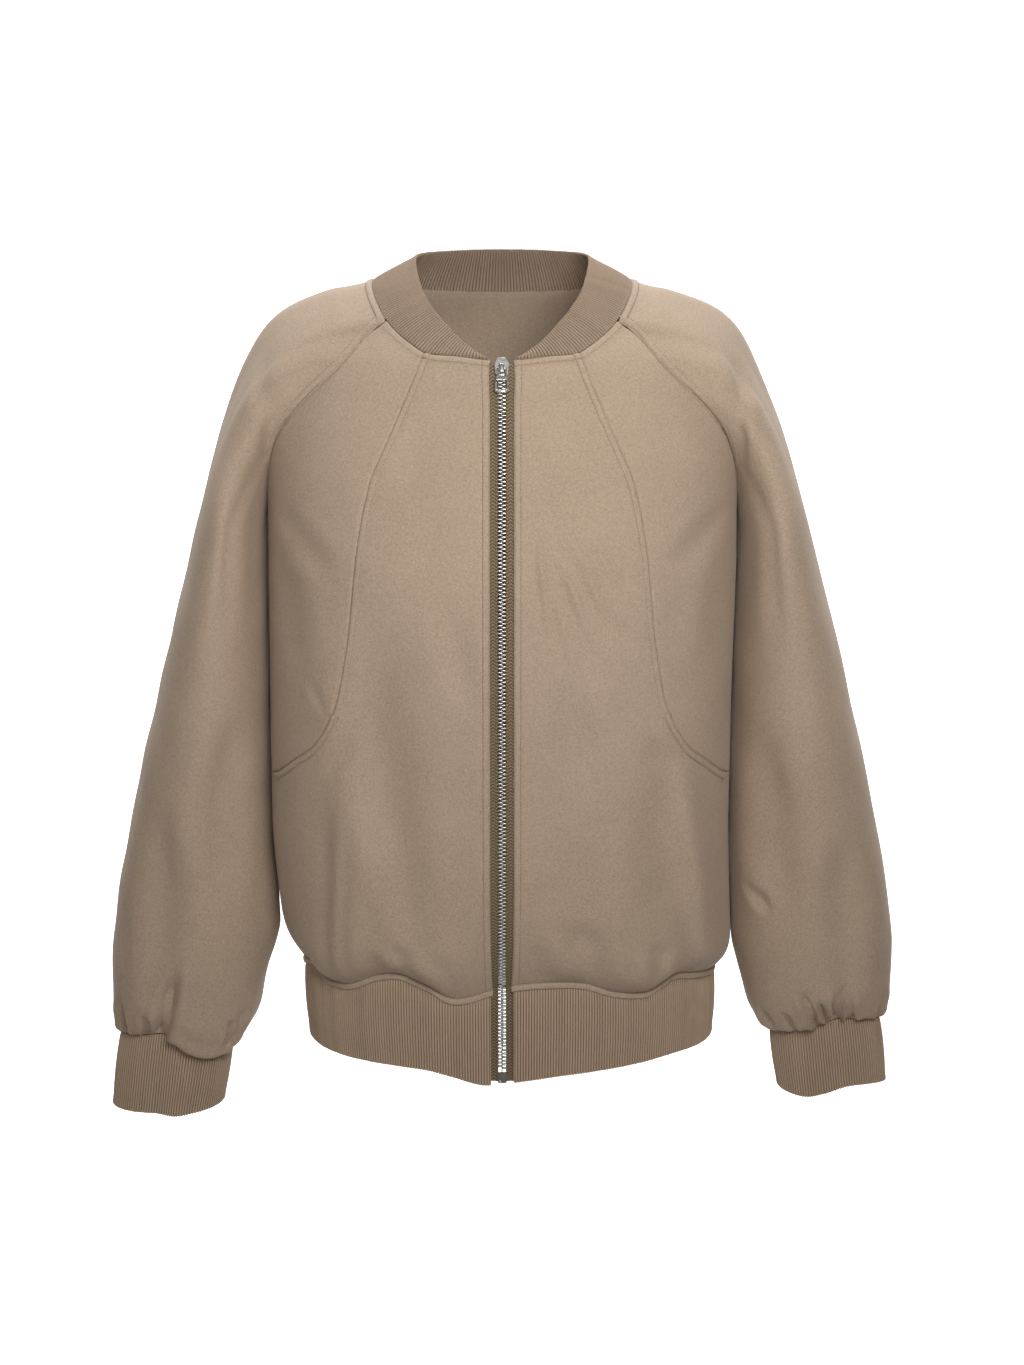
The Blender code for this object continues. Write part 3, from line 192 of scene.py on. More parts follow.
# Grids of points
SIDE_ROWS = dict(
    inner=(-53.35, -75, -95, -118, -140, -172, -206, -240, -273, -306, -337, -356, -370, -384, -394, -402),
    outer=(-29.35, -42, -56, -75, -95, -118, -142, -165, -185, -225, -270, -318, -355, -380, -395, -402.9),
)
SIDE_SEAM_TURN = 1 - SEAM_GAP / 400
ROW_PITCH = 3.2
PANEL_LENGTH = 560.0
SIDE_PANEL_LENGTH = 360.0
MIDDLE_COLUMNS = dict(centre=46, side=22, back_half=52)

# Cloth close up
SEAM_ROLL = 1.25
SEAM_ROLL_REACH = 1.0
ALLOWANCE_RISE = 0.85
STITCH_LINE = 5.6
STITCH_GROOVE = 0.55
LIFT_LIMITS = (-1.6, 1.7)
STITCHED_OFFSETS = (0.0, 0.4, 0.9, 1.5, 2.6, 3.8, 4.7, 5.15, 5.5, 5.85, 6.2, 6.7, 7.6, 9.0, 11.0)
PLAIN_OFFSETS = (0.0, 0.5, 1.1, 1.9, 3.2, 5.2)
VISUAL_GAP = 0.06
STITCH_PITCH = 2.7
STITCH_LENGTH = 2.0
STITCH_WIDTH = 0.42


def crease(path, width, rise, ends=(0, 0)):
    """A crease: its path, widths along it, how far it rises or falls, and how open each end is."""
    return path, width, rise, ends


# Fine creases of the body, by x and height
CREASES_FRONT = (
    crease(((-130, -396), (-133, -460), (-136, -520), (-136, -560)), (7, 5, 4, 4), 2.2, (0, 1)),
    crease(((-117, -400), (-121, -470), (-123, -555)), (15, 13, 11), 2.4, (0, 0.6)),
    crease(((-104, -230), (-98, -330), (-92, -400), (-80, -455), (-68, -530)),
           (15, 24, 21, 17, 12), -4.4, (0, 0.3)),
    crease(((-46, -230), (-32, -300), (-22, -345)), (9, 13, 8), -1.6),
    crease(((-84, -520), (-82, -560)), (8, 7), -3.2, (0, 1)),
    crease(((-104, -530), (-108, -562)), (7, 7), -1.8, (0, 1)),
    crease(((-52, -528), (-44, -572)), (8, 8), -1.8, (0, 1)),
    crease(((144, -360), (152, -430), (163, -480), (170, -545)), (8, 12, 11, 9), 4.4, (0, 0.6)),
    crease(((118, -375), (128, -450), (138, -530)), (10, 16, 11), -2.0),
    crease(((82, -420), (92, -480), (96, -540)), (12, 18, 12), 1.7),
    crease(((28, -178), (31, -220), (40, -285)), (2.4, 3.2, 2.8), 1.2),
    crease(((50, -186), (66, -218), (86, -268)), (3.2, 4, 3.4), 1.05),
    crease(((40, -200), (56, -236), (74, -286)), (3.2, 4, 3.4), 1.0),
    crease(((34, -222), (47, -258), (62, -306)), (3.4, 4.6, 3.6), 0.9),
    crease(((62, -180), (78, -206), (100, -250)), (3.4, 4.4, 3.6), 0.8),
    crease(((70, -250), (92, -268), (116, -296)), (7, 10, 7), -1.4, (0, 0.4)),
    crease(((52, -300), (58, -350), (66, -410)), (10, 16, 12), -2.2),
    crease(((54, -500), (70, -535), (84, -562)), (8, 14, 11), -3.6, (0, 1)),
    crease(((127, -525), (129, -560)), (7, 7), -3.0, (0, 1)),
    crease(((26, -520), (30, -562)), (8, 8), -1.6, (0, 1)),
    crease(((104, -535), (106, -572)), (6, 6), -1.6, (0, 1)),
    crease(((-152, -312), (-147, -328), (-143, -336)), (3, 4, 3), -1.2, (0, 0.5)),
    crease(((-118, -352), (-128, -372), (-146, -394)), (6, 8, 5), -1.6),
    crease(((112, -350), (124, -372), (142, -388)), (6, 8, 5), -1.5),
    crease(((-170, -190), (-152, -212), (-128, -226)), (8, 11, 8), -1.8, (1, 0)),
    crease(((172, -186), (150, -208), (126, -216)), (8, 11, 8), -1.8, (1, 0)),
    crease(((-178, -212), (-170, -260), (-166, -320)), (10, 12, 9), -2.0, (0.5, 0)),
    crease(((180, -214), (174, -264), (170, -316)), (10, 12, 9), -2.0, (0.5, 0)),
    crease(((-60, -90), (-66, -130), (-74, -176)), (8, 12, 10), -0.9),
    crease(((58, -86), (62, -126), (70, -170)), (8, 12, 10), -0.9),
)
CREASES_BACK = (
    crease(((-92, -220), (-82, -320), (-70, -420), (-82, -480), (-98, -550)),
           (14, 24, 18, 16, 11), -3.8, (0, 1)),
    crease(((-138, -320), (-144, -430), (-147, -552)), (9, 15, 10), -4.0, (0, 1)),
    crease(((-14, -290), (-2, -400), (8, -552)), (14, 22, 13), -3.4, (0, 1)),
    crease(((66, -205), (76, -300), (88, -400), (74, -480), (60, -550)),
           (14, 24, 18, 16, 11), -3.7, (0, 1)),
    crease(((138, -340), (144, -440), (148, -550)), (9, 15, 10), -4.0, (0, 1)),
    crease(((-40, -520), (-36, -562)), (8, 8), -2.2, (0, 1)),
    crease(((-118, -525), (-121, -562)), (8, 7), -2.2, (0, 1)),
    crease(((34, -528), (32, -562)), (8, 8), -2.0, (0, 1)),
    crease(((112, -522), (116, -562)), (8, 7), -2.4, (0, 1)),
    crease(((-150, -150), (-120, -178), (-84, -192)), (9, 13, 9), -2.0, (1, 0)),
    crease(((152, -152), (118, -182), (80, -196)), (9, 13, 9), -2.0, (1, 0)),
    crease(((-176, -200), (-164, -250), (-158, -330)), (10, 13, 10), -2.2, (0.5, 0)),
    crease(((178, -200), (168, -250), (162, -325)), (10, 13, 10), -2.2, (0.5, 0)),
    crease(((-60, -60), (-30, -84), (6, -90)), (9, 12, 9), -0.9),
    crease(((70, -66), (40, -98), (14, -104)), (9, 12, 9), -0.8),
)

# Creases of the sleeves, by turn and height
SLEEVE_CREASES = dict(
    left=(
        crease(((0.47, -50), (0.384, -84), (0.29, -112), (0.2, -140)), (4, 5, 5, 4), -1.3, (0, 0.5)),
        crease(((0.215, -150), (0.205, -210), (0.2, -300)), (9, 12, 12), -1.2, (0.4, 0)),
        crease(((0.16, -330), (0.185, -420), (0.2, -530)), (12, 20, 14), -3.2),
        crease(((0.34, -410), (0.31, -490), (0.3, -590)), (12, 18, 12), -3.2, (0, 0.6)),
        crease(((0.262, -560), (0.277, -596), (0.29, -636)), (5, 6, 6), -5.4, (0, 1)),
        crease(((0.13, -612), (0.125, -634)), (4, 4.5), -3.6, (0, 1)),
        crease(((0.335, -606), (0.318, -636)), (4, 5), -3.8, (0, 1)),
        crease(((0.1, -604), (0.1, -634)), (5, 6), -2.6, (0, 1)),
        crease(((0.41, -596), (0.41, -634)), (5, 6), -3.4, (0, 1)),
        crease(((0.5, -604), (0.5, -634)), (5, 6), -2.6, (0, 1)),
        crease(((0.61, -70), (0.67, -110), (0.76, -160), (0.79, -310)), (7, 11, 13, 12), -2.4),
        crease(((0.9, -240), (0.84, -290), (0.77, -320)), (8, 12, 8), -1.8, (1, 0)),
        crease(((0.69, -390), (0.72, -480), (0.74, -600)), (12, 18, 12), -3.4, (0, 0.6)),
        crease(((0.9, -420), (0.85, -450), (0.78, -466)), (7, 11, 7), -1.6, (1, 0)),
        crease(((0.6, -590), (0.62, -634)), (6, 8), -4.4, (0, 1)),
        crease(((0.7, -600), (0.7, -634)), (5, 6), -2.6, (0, 1)),
        crease(((0.79, -592), (0.8, -634)), (6, 8), -4.4, (0, 1)),
        crease(((0.9, -602), (0.9, -634)), (5, 6), -2.8, (0, 1)),
    ),
    right=(
        crease(((0.47, -52), (0.367, -91), (0.28, -120), (0.19, -148)), (4, 5, 5, 4), -1.3, (0, 0.5)),
        crease(((0.2, -158), (0.195, -220), (0.2, -310)), (9, 12, 12), -1.2, (0.4, 0)),
        crease(((0.44, -60), (0.4, -80), (0.35, -92)), (6, 9, 6), -1.4),
        crease(((0.15, -345), (0.175, -440), (0.19, -545)), (12, 20, 14), -3.2),
        crease(((0.33, -440), (0.31, -500), (0.3, -575)), (12, 18, 12), -3.0, (0, 0.6)),
        crease(((0.1, -498), (0.13, -508), (0.16, -522)), (4, 6, 4), -1.8, (0.3, 0)),
        crease(((0.09, -606), (0.1, -622)), (4, 5), -1.6, (0, 1)),
        crease(((0.153, -606), (0.16, -622)), (3, 4), -2.6, (0, 1)),
        crease(((0.202, -584), (0.211, -596), (0.224, -618)), (3, 4, 4), -4.0, (0, 1)),
        crease(((0.238, -592), (0.252, -618)), (3, 3.6), -3.6, (0, 1)),
        crease(((0.289, -580), (0.277, -602), (0.272, -616)), (3.5, 4, 4), -4.8, (0, 1)),
        crease(((0.3, -576), (0.305, -598), (0.31, -616)), (3.5, 4, 4.5), -4.0, (0, 1)),
        crease(((0.42, -590), (0.42, -618)), (5, 6), -3.2, (0, 1)),
        crease(((0.5, -592), (0.5, -618)), (5, 6), -2.6, (0, 1)),
        crease(((0.6, -70), (0.66, -110), (0.75, -160), (0.78, -320)), (7, 11, 13, 12), -2.4),
        crease(((0.9, -250), (0.84, -300), (0.77, -332)), (8, 12, 8), -1.8, (1, 0)),
        crease(((0.71, -370), (0.73, -470), (0.75, -590)), (12, 18, 12), -3.4, (0, 0.6)),
        crease(((0.9, -440), (0.85, -468), (0.79, -480)), (7, 11, 7), -1.6, (1, 0)),
        crease(((0.62, -582), (0.63, -620)), (6, 8), -4.4, (0, 1)),
        crease(((0.71, -590), (0.71, -620)), (5, 6), -2.6, (0, 1)),
        crease(((0.8, -586), (0.8, -620)), (6, 8), -4.4, (0, 1)),
        crease(((0.9, -594), (0.9, -620)), (5, 6), -2.8, (0, 1)),
    ),
)
CREASE_LIP = 0.3
CREASE_STRENGTH = 1.9
CREASE_FADE = 0.4  # the share of its length over which a closed end fades out

# How far the sleeves' puffs hang over their cuffs
OVERHANGS = dict(
    left=dict(turn=(0.0, 0.06, 0.12, 0.2, 0.26, 0.3, 0.36, 0.5, 0.65, 0.8, 0.9, 1.0),
              hang=(2.0, 3.0, 5.5, 6.0, 4.5, 1.0, 1.2, 2.5, 4.5, 2.5, 4.0, 2.0)),
    right=dict(turn=(0.0, 0.08, 0.14, 0.2, 0.27, 0.33, 0.4, 0.5, 0.62, 0.75, 0.88, 1.0),
               hang=(2.5, 3.5, 3.0, 4.0, 1.0, 3.0, 2.0, 2.5, 4.5, 2.5, 4.0, 2.5)),
)

# Rib knit, zip and finish close up
RIB_POINTS = 6
RIB_VALLEY = 0.45
RIDGE = "ridge"
TAPE_THREAD = 0.22
STRIP_HEIGHT = 5.2
STRIP_RISE = 1.9
SHARED_NORMALS = 9.0  # how far from the raglan seam a sleeve still leans as the body does
OVERHANG_REACH = 15.0
# The left side runs in to the hem on a slant
SLANT = dict(turn=-0.82, spread=0.16, height=18.0, power=1.9)
SLEEVE_COLUMNS = 150
SLEEVE_ROWS = 170
TAPE_WEAVE = 2.7
TOOTH_PITCH = 3.1
PIN_GAP = 0.55
PIN_LENGTH = 26.0
PIN_RADIUS = 0.55
PIN_RINGS, PIN_SIDES = 24, 8
SLIDER_AT = (0.0, -106.765, SLIDER_Z)
SLIDER_LEAN = -0.41887

CLOTH_COLOUR = (0.432, 0.330, 0.243)
RIB_COLOUR = (0.305, 0.226, 0.163)
PAINTED_LIGHTER_RIB_COLOUR = (0.425, 0.312, 0.222)  # the same rib knit painted paler for the band and cuffs, as painted light against the shade on them
TAPE_COLOUR = (0.190, 0.142, 0.082)
# Thread of the cloth's tone, painted darker as painted shade of the stitch holes and groove
PAINTED_SHADE_THREAD_COLOUR = (0.25, 0.185, 0.13)
METAL_COLOUR = (0.54, 0.53, 0.51)
POLISHED_COLOUR = (0.56, 0.55, 0.53)

# Camera and light
CAMERA_AT = (0.008, -2.10, 0.04)
CAMERA_TURN = (math.radians(90 - 10.1), 0, 0)
LENS = 24 * 2530 / 1365
FLOOR = dict(near=-4.0, half=8.0, z=-3.0)
BACKDROP = dict(near=2.8, radius=1.4, far=4.2, top=6.0, half=3.2, steps=12, glow=0.8)
STAGE_COLOUR = (0.86, 0.86, 0.86, 1)
WORLD_LIGHT = 0.13
WORLD_COLOUR = (1.0, 0.93, 0.86, 1)
LIGHTS = (
    ("key", (0.22, -1.38, 0.32), (-0.02, 0, -0.08), (0.8, 0.5), 5.6, (1.0, 0.995, 0.985), 100),
    ("fill", (-1.5, -1.7, 0.2), (0, 0, -0.2), (1.4, 1.6), 3, (1.0, 0.98, 0.96), 180),
    ("back_left", (-1.7, 1.7, 1.5), (0, 0, -0.3), (1.6, 1.6), 18, (1.0, 0.99, 0.98), 180),
    ("back_right", (1.7, 1.7, 1.2), (0, 0, -0.3), (1.6, 1.6), 18, (1.0, 0.99, 0.98), 180),
    ("backdrop", (0, 0.9, 2.6), (0, 2.9, -0.2), (3.4, 0.8), 120, (1.0, 1.0, 1.0), 180),
    ("backdrop_low", (0, 0.9, -2.2), (0, 2.7, -1.1), (3.4, 0.6), 70, (1.0, 1.0, 1.0), 180),
)


# Forms, as in the solids


def smooth(table, column, name, at):
    """The named column of a table at places along another one, on a curve without overshoot."""
    keys = np.array(table[column], float)
    values = np.array(table[name], float)
    if keys[0] > keys[-1]:
        keys, values = keys[::-1], values[::-1]
    at = np.clip(np.asarray(at, float), keys[0], keys[-1])
    gaps = np.diff(keys)
    slopes = np.diff(values) / gaps
    tangents = np.concatenate([[slopes[0]], (slopes[1:] + slopes[:-1]) / 2, [slopes[-1]]])
    turning = slopes[1:] * slopes[:-1] <= 0
    tangents[1:-1][turning] = 0
    i = np.clip(np.searchsorted(keys, at, side="right") - 1, 0, len(gaps) - 1)
    t = (at - keys[i]) / gaps[i]
    start = (2 * t**3 - 3 * t**2 + 1) * values[i] + (t**3 - 2 * t**2 + t) * gaps[i] * tangents[i]
    end = (3 * t**2 - 2 * t**3) * values[i + 1] + (t**3 - t**2) * gaps[i] * tangents[i + 1]
    return start + end


def length_shares(table):
    """The share of the whole length from row to row at which each row of a table's x, y and z lies."""
    points = np.column_stack([table["x"], table["y"], table["z"]]).astype(float)
    steps = np.linalg.norm(np.diff(points, axis=0), axis=1)
    return np.concatenate([[0], np.cumsum(steps)]) / steps.sum()


def along(table, share):
    """Points on the smooth curve through a table's x, y and z, by its share of the rows' length."""
    columns = dict(table, share=length_shares(table))
    return np.stack([smooth(columns, "share", axis, share) for axis in "xyz"], axis=-1)


def squareness(form, angle, z):
    front, back = smooth(form, "z", "front_power", z), smooth(form, "z", "back_power", z)
    return np.where(np.cos(angle) < 0, back, front)


def reach(form, turn, z):
    """How far to the side a form reaches at a turn and a height, before it sways."""
    angle = np.asarray(turn, float) * math.pi / 2
    share = np.abs(np.sin(angle)) ** (2 / squareness(form, angle, z))
    return smooth(form, "z", "half_width", z) * np.sign(np.sin(angle)) * share


def section(form, turn, z):
    """Points of a form: turn is 0 at the centre front, 1 at the side and 2 at the centre back."""
    angle = np.asarray(turn, float) * math.pi / 2
    x = reach(form, turn, z)
    near_side = (np.abs(x) / smooth(form, "z", "half_width", z)) ** SWAY_POWER
    x = x + smooth(SWAY, "z", "shift", z) * near_side
    cosine = np.cos(angle)
    depth = np.where(cosine < 0, smooth(form, "z", "back", z), smooth(form, "z", "front", z))
    y = -depth * np.sign(cosine) * np.abs(cosine) ** (2 / squareness(form, angle, z))
    return np.stack([x, y, np.broadcast_to(np.asarray(z, float), x.shape)], axis=-1)


def turn_at(x, z, behind=False):
    """The turn at which the torso form reaches a given x, at a height."""
    side = "back_power" if behind else "front_power"
    share = np.clip(np.abs(x) / smooth(TORSO, "z", "half_width", z), 0, 1)
    turn = np.arcsin(share ** (smooth(TORSO, "z", side, z) / 2)) * 2 / math.pi
    turn = 2 - turn if behind else turn
    return turn * np.where(np.asarray(x) < 0, -1, 1)


def by_side(front, back, turn):
    """A height that the front and the back each give against x, at a turn round the hem."""
    x = section(BAND, turn, np.full(np.shape(turn), BAND_MIDDLE_Z))[..., 0]
    return np.where(np.abs(turn) > 1, smooth(back, "x", "z", x), smooth(front, "x", "z", x))


def hem_seam(turn):
    return by_side(HEM_SEAM_FRONT, HEM_SEAM_BACK, turn)


def band_edge(turn):
    return by_side(BAND_EDGE_FRONT, BAND_EDGE_BACK, turn)


def ease(value):
    value = np.clip(value, 0, 1)
    return value * value * (3 - 2 * value)


def crease_rise(creases, first, second, stretch=1.0):
    """How far the creases lift a surface at places given by two coordinates, in millimetres."""
    total = np.zeros(np.shape(first))
    for path, widths, rise, ends in creases:
        path = np.array(path, float) * (stretch, 1)
        steps = np.diff(path, axis=0)
        lengths = np.linalg.norm(steps, axis=1)
        starts = np.concatenate([[0], np.cumsum(lengths)]) / lengths.sum()
        nearest = np.full(np.shape(first), 1e9)
        share = np.zeros(np.shape(first))
        across = np.zeros(np.shape(first))
        for k, step in enumerate(steps):
            away_x, away_z = first - path[k, 0], second - path[k, 1]
            along_step = np.clip((away_x * step[0] + away_z * step[1]) / (step @ step), 0, 1)
            off_x, off_z = away_x - along_step * step[0], away_z - along_step * step[1]
            distance = np.hypot(off_x, off_z)
            closer = distance < nearest
            nearest = np.where(closer, distance, nearest)
            share = np.where(closer, starts[k] + along_step * lengths[k] / lengths.sum(), share)
            across = np.where(closer, np.sign(off_x * step[1] - off_z * step[0]) * distance, across)
        width = np.interp(share, np.linspace(0, 1, len(widths)), widths)
        fade_in = ends[0] + (1 - ends[0]) * ease(share / CREASE_FADE)
        fade_out = ends[1] + (1 - ends[1]) * ease((1 - share) / CREASE_FADE)
        near, lip = across / width, nearest / width
        lips = np.exp(-(((near - 1.75) / 0.8) ** 2)) + 0.7 * np.exp(-(((near + 1.85) / 0.8) ** 2))
        shape = np.exp(-(lip**2)) - CREASE_LIP * lips
        total = total + CREASE_STRENGTH * rise * shape * fade_in * fade_out
    return total


def waver(first, second, scale, seed):
    """Soft unevenness between about -1 and 1, the same each run, with bumps of a given size."""
    random = np.random.RandomState(seed)
    total = np.zeros(np.shape(first))
    for _ in range(7):
        angle, phase = random.uniform(0, math.pi), random.uniform(0, 2 * math.pi)
        size = scale * random.uniform(0.7, 1.6)
        place = (first * math.cos(angle) + second * math.sin(angle)) / size
        total = total + np.sin(place * 2 * math.pi + phase)
    return total / 4


def torso(turn, z, creased=True):
    """The torso's outer surface, drawn in to the hem band at the bottom."""
    turn, z = np.broadcast_arrays(np.asarray(turn, float), np.asarray(z, float))
    full = section(TORSO, turn, z)
    front = np.abs(turn) <= 1
    if creased:
        x = full[..., 0]
        rise = np.where(front, crease_rise(CREASES_FRONT, x, z), crease_rise(CREASES_BACK, x, z))
        rise = rise + 0.6 * waver(x * np.where(front, 1, 1.3), z, 60.0, 11)
        rise = rise * np.clip(np.abs(full[..., 1]) / 40, 0, 1) * np.clip(np.abs(x) / 12 - 0.6, 0, 1)
        full[..., 1] += np.where(front, -rise, rise)
    near_zip = np.exp(-((full[..., 0] / TUCK_ZIP_SPREAD) ** 2)) * front
    height = TUCK_HEIGHT + (TUCK_HEIGHT_AT_ZIP - TUCK_HEIGHT) * near_zip
    slanted = np.exp(-(((turn - SLANT["turn"]) / SLANT["spread"]) ** 2))
    height = height + SLANT["height"] * slanted
    share = np.clip(1 - (z - hem_seam(turn) - STRIP_HEIGHT) / (height - STRIP_HEIGHT), 0, 1)
    drawn = share ** (TUCK_POWER - SLANT["power"] * slanted)
    return full + (section(BAND, turn, z) - full) * drawn[..., None]


def unit(vectors):
    return vectors / np.maximum(np.linalg.norm(vectors, axis=-1, keepdims=True), 1e-9)


def torso_normal(turn, z):
    step_turn, step_z = 0.004, 1.0
    across = torso(turn + step_turn, z, False) - torso(turn - step_turn, z, False)
    down = torso(turn, z - step_z, False) - torso(turn, z + step_z, False)
    normal = unit(np.cross(down, across))
    return normal * np.sign((normal * (torso(turn, z, False) * (1, 1, 0))).sum(-1))[..., None]


def grid_normal(points, wrapped, outward):
    """Normals of a grid of points; wrapped means that its columns close on themselves."""
    padded = np.concatenate([points[:, -1:], points, points[:, :1]], axis=1) if wrapped else points
    across = np.gradient(padded, axis=1)
    across = across[:, 1:-1] if wrapped else across
    normal = unit(np.cross(np.gradient(points, axis=0), across))
    return normal * np.sign((normal * outward).sum())


# Grids of points


def line_lengths(points):
    """Lengths run along the second axis of a grid of points, from its first column."""
    steps = np.linalg.norm(np.diff(points, axis=-2), axis=-1)
    return np.concatenate([np.zeros(steps.shape[:-1] + (1,)), np.cumsum(steps, axis=-1)], axis=-1)


def clustered(length, middle, first, last):
    """Places along a line of some length: close together at its ends, even in between."""
    squeeze = min(1.0, length / (2.4 * (first[-1] + last[-1])))
    head, tail = np.array(first) * squeeze, length - np.array(last)[::-1] * squeeze
    return np.concatenate([head, np.linspace(head[-1], tail[0], middle + 2)[1:-1], tail])


def respaced(turns, heights, middle, first, last):
    """A grid with its columns moved along each row to fixed distances from the two ends."""
    lengths = line_lengths(torso(turns, heights, False))
    out_turns, out_heights = [], []
    for row in range(len(turns)):
        places = clustered(lengths[row, -1], middle, first, last)
        out_turns.append(np.interp(places, lengths[row], turns[row]))
        out_heights.append(np.interp(places, lengths[row], heights[row]))
    return np.stack(out_turns), np.stack(out_heights)


def near_end(share, steepness):
    """1 where a share is 0, fading to 0 where it reaches one part in steepness."""
    return max(0, 1 - share * steepness) ** 2


def row_shares(length, pitch, first, last):
    count = max(int((length - first[-1] - last[-1]) / pitch), 4)
    return clustered(length, count, first, last) / length


def outer_x(table_above, z):
    """The torso's side, or the given seam above the armpit."""
    side = smooth(TORSO, "z", "half_width", z)
    return np.where(z > ARMPIT_Z, smooth(table_above, "z", "x", z), side)


def princess_x(z):
    above = smooth(PRINCESS, "z", "x", z)
    below = smooth(POCKET_MOUTH, "z", "x", z)
    return np.where(z > PRINCESS["z"][-1], above, below)


PRINCESS_SHARE, FRONT_RAGLAN_SHARE, BACK_RAGLAN_SHARE = length_shares(NECK_SEAM)[[2, 5, 11]]
OPENING_TURN = float(turn_at(OPENING_HALF, FRONT_LOW_Z))


def neck_curve(shares):
    """Points and outward normals of the neck seam's right half, on the torso form."""
    shares = np.asarray(shares, float)
    points = along(NECK_SEAM, shares)
    middle = (FRONT_RAGLAN_SHARE + BACK_RAGLAN_SHARE) / 2
    half = (BACK_RAGLAN_SHARE - FRONT_RAGLAN_SHARE) / 2
    turns = np.where(
        shares > middle, turn_at(points[:, 0], points[:, 2], True), turn_at(points[:, 0], points[:, 2])
    )
    on_form, normals = torso(turns, points[:, 2], False), torso_normal(turns, points[:, 2])
    off_form = np.clip(1 - np.abs(shares - middle) / half, 0, 1)[:, None]
    points = np.where(off_form == 0, on_form, points)
    return points, unit(normals * (1 - off_form) + np.array(SHOULDER_NORMAL) * off_form)


def neck_turns(shares, behind=False):
    """Turns and heights of a panel's top edge, just below the neck seam."""
    points, _ = neck_curve(shares)
    height = points[:, 2] - VISUAL_GAP
    return turn_at(points[:, 0], height, behind), height


def centre_edge(low_z, top_z):
    """The centre front's outer edge as turns, heights and lengths from the neck down: princess seam,
    pocket mouth, a short way back to the side seam, and that seam to the hem."""
    mouth_z = POCKET_MOUTH["z"][-1]
    seam_z = np.linspace(top_z, mouth_z, 300)
    seam = np.minimum(turn_at(princess_x(seam_z) - VISUAL_GAP, seam_z), SIDE_SEAM_TURN)
    to_side = np.linspace(seam[-1], SIDE_SEAM_TURN, 40)[1:]
    turns = np.concatenate([seam, to_side, np.full(160, SIDE_SEAM_TURN)])
    heights = [seam_z, np.full(len(to_side), mouth_z), np.linspace(mouth_z, low_z, 161)[1:]]
    heights = np.concatenate(heights)
    return turns, heights, line_lengths(section(TORSO, turns, heights))


def centre_grid(sign):
    """Turns and heights of the centre front."""
    fine = np.linspace(0, 1, 140)
    top_turn, top_z = neck_turns(np.linspace(0, PRINCESS_SHARE, len(fine)))
    low_turn = OPENING_TURN + (SIDE_SEAM_TURN - OPENING_TURN) * fine
    low_z = hem_seam(low_turn * sign) + VISUAL_GAP
    edge_turns, edge_heights, edge_lengths = centre_edge(low_z[-1], top_z[-1])
    turns, heights = [], []
    for share in row_shares(PANEL_LENGTH, ROW_PITCH, STITCHED_OFFSETS, STITCHED_OFFSETS):
        end_turn = np.interp(share * edge_lengths[-1], edge_lengths, edge_turns)
        end_z = np.interp(share * edge_lengths[-1], edge_lengths, edge_heights)
        z = top_z + (low_z - top_z) * share
        z = z + (end_z - z[-1]) * fine**2.5
        first = turn_at(np.full(len(fine), OPENING_HALF), z)
        middle = first + (end_turn - first) * fine
        mixed = middle + (top_turn - middle) * near_end(share, 14)
        turns.append(mixed + (low_turn - mixed) * near_end(1 - share, 20))
        heights.append(z)
    return respaced(np.stack(turns), np.stack(heights), MIDDLE_COLUMNS["centre"],
                    STITCHED_OFFSETS, STITCHED_OFFSETS)


def side_grid():
    """Turns and heights of the right side front."""
    fine = np.linspace(0, 1, 80)
    top_turn, top_z = neck_turns(np.linspace(PRINCESS_SHARE, FRONT_RAGLAN_SHARE, len(fine)))
    rows = np.linspace(0, len(SIDE_ROWS["inner"]) - 1, len(SIDE_ROWS["inner"]))
    turns, heights = [], []
    for share in row_shares(SIDE_PANEL_LENGTH, ROW_PITCH, STITCHED_OFFSETS, PLAIN_OFFSETS):
        at = share * rows[-1]
        inner_z = float(np.interp(at, rows, SIDE_ROWS["inner"]))
        outer_z = float(np.interp(at, rows, SIDE_ROWS["outer"]))
        z = inner_z + (outer_z - inner_z) * fine
        z = z + (top_z - z) * near_end(share, 9)
        first = turn_at(princess_x(z[0]) + VISUAL_GAP, z[0])
        seam = outer_x(FRONT_RAGLAN, z[-1]) - VISUAL_GAP
        last = min(float(turn_at(seam, z[-1])), SIDE_SEAM_TURN)
        row = first + (last - first) * fine
        turns.append(row + (top_turn - row) * near_end(share, 9))
        heights.append(z)
    return respaced(np.stack(turns), np.stack(heights), MIDDLE_COLUMNS["side"],
                    PLAIN_OFFSETS, PLAIN_OFFSETS)


def back_grid():
    """Turns and heights of the whole back, from one side seam to the other."""
    fine = np.linspace(0, 1, 140)
    top_turn, top_z = neck_turns(np.linspace(1, BACK_RAGLAN_SHARE, len(fine)), behind=True)
    low_turn = 2 - SIDE_SEAM_TURN * fine
    grids = []
    for sign in (1, -1):
        low_z = hem_seam(low_turn * sign) + VISUAL_GAP
        turns, heights = [], []
        for share in row_shares(PANEL_LENGTH, ROW_PITCH, STITCHED_OFFSETS, STITCHED_OFFSETS):
            z = top_z + (low_z - top_z) * share
            seam = outer_x(BACK_RAGLAN, z[-1]) - VISUAL_GAP
            edge = max(float(turn_at(seam, z[-1], True)), 2 - SIDE_SEAM_TURN)
            row = 2 + (edge - 2) * fine
            turns.append(row + (top_turn - row) * near_end(share, 14))
            heights.append(z)
        turns, heights = respaced(np.stack(turns), np.stack(heights), MIDDLE_COLUMNS["back_half"],
                                  (0.0, ROW_PITCH), PLAIN_OFFSETS)
        grids.append((turns * sign, heights))
    (right, right_z), (left, left_z) = grids
    turns = np.concatenate([right[:, ::-1], left[:, 1:]], axis=1)
    return turns, np.concatenate([right_z[:, ::-1], left_z[:, 1:]], axis=1)


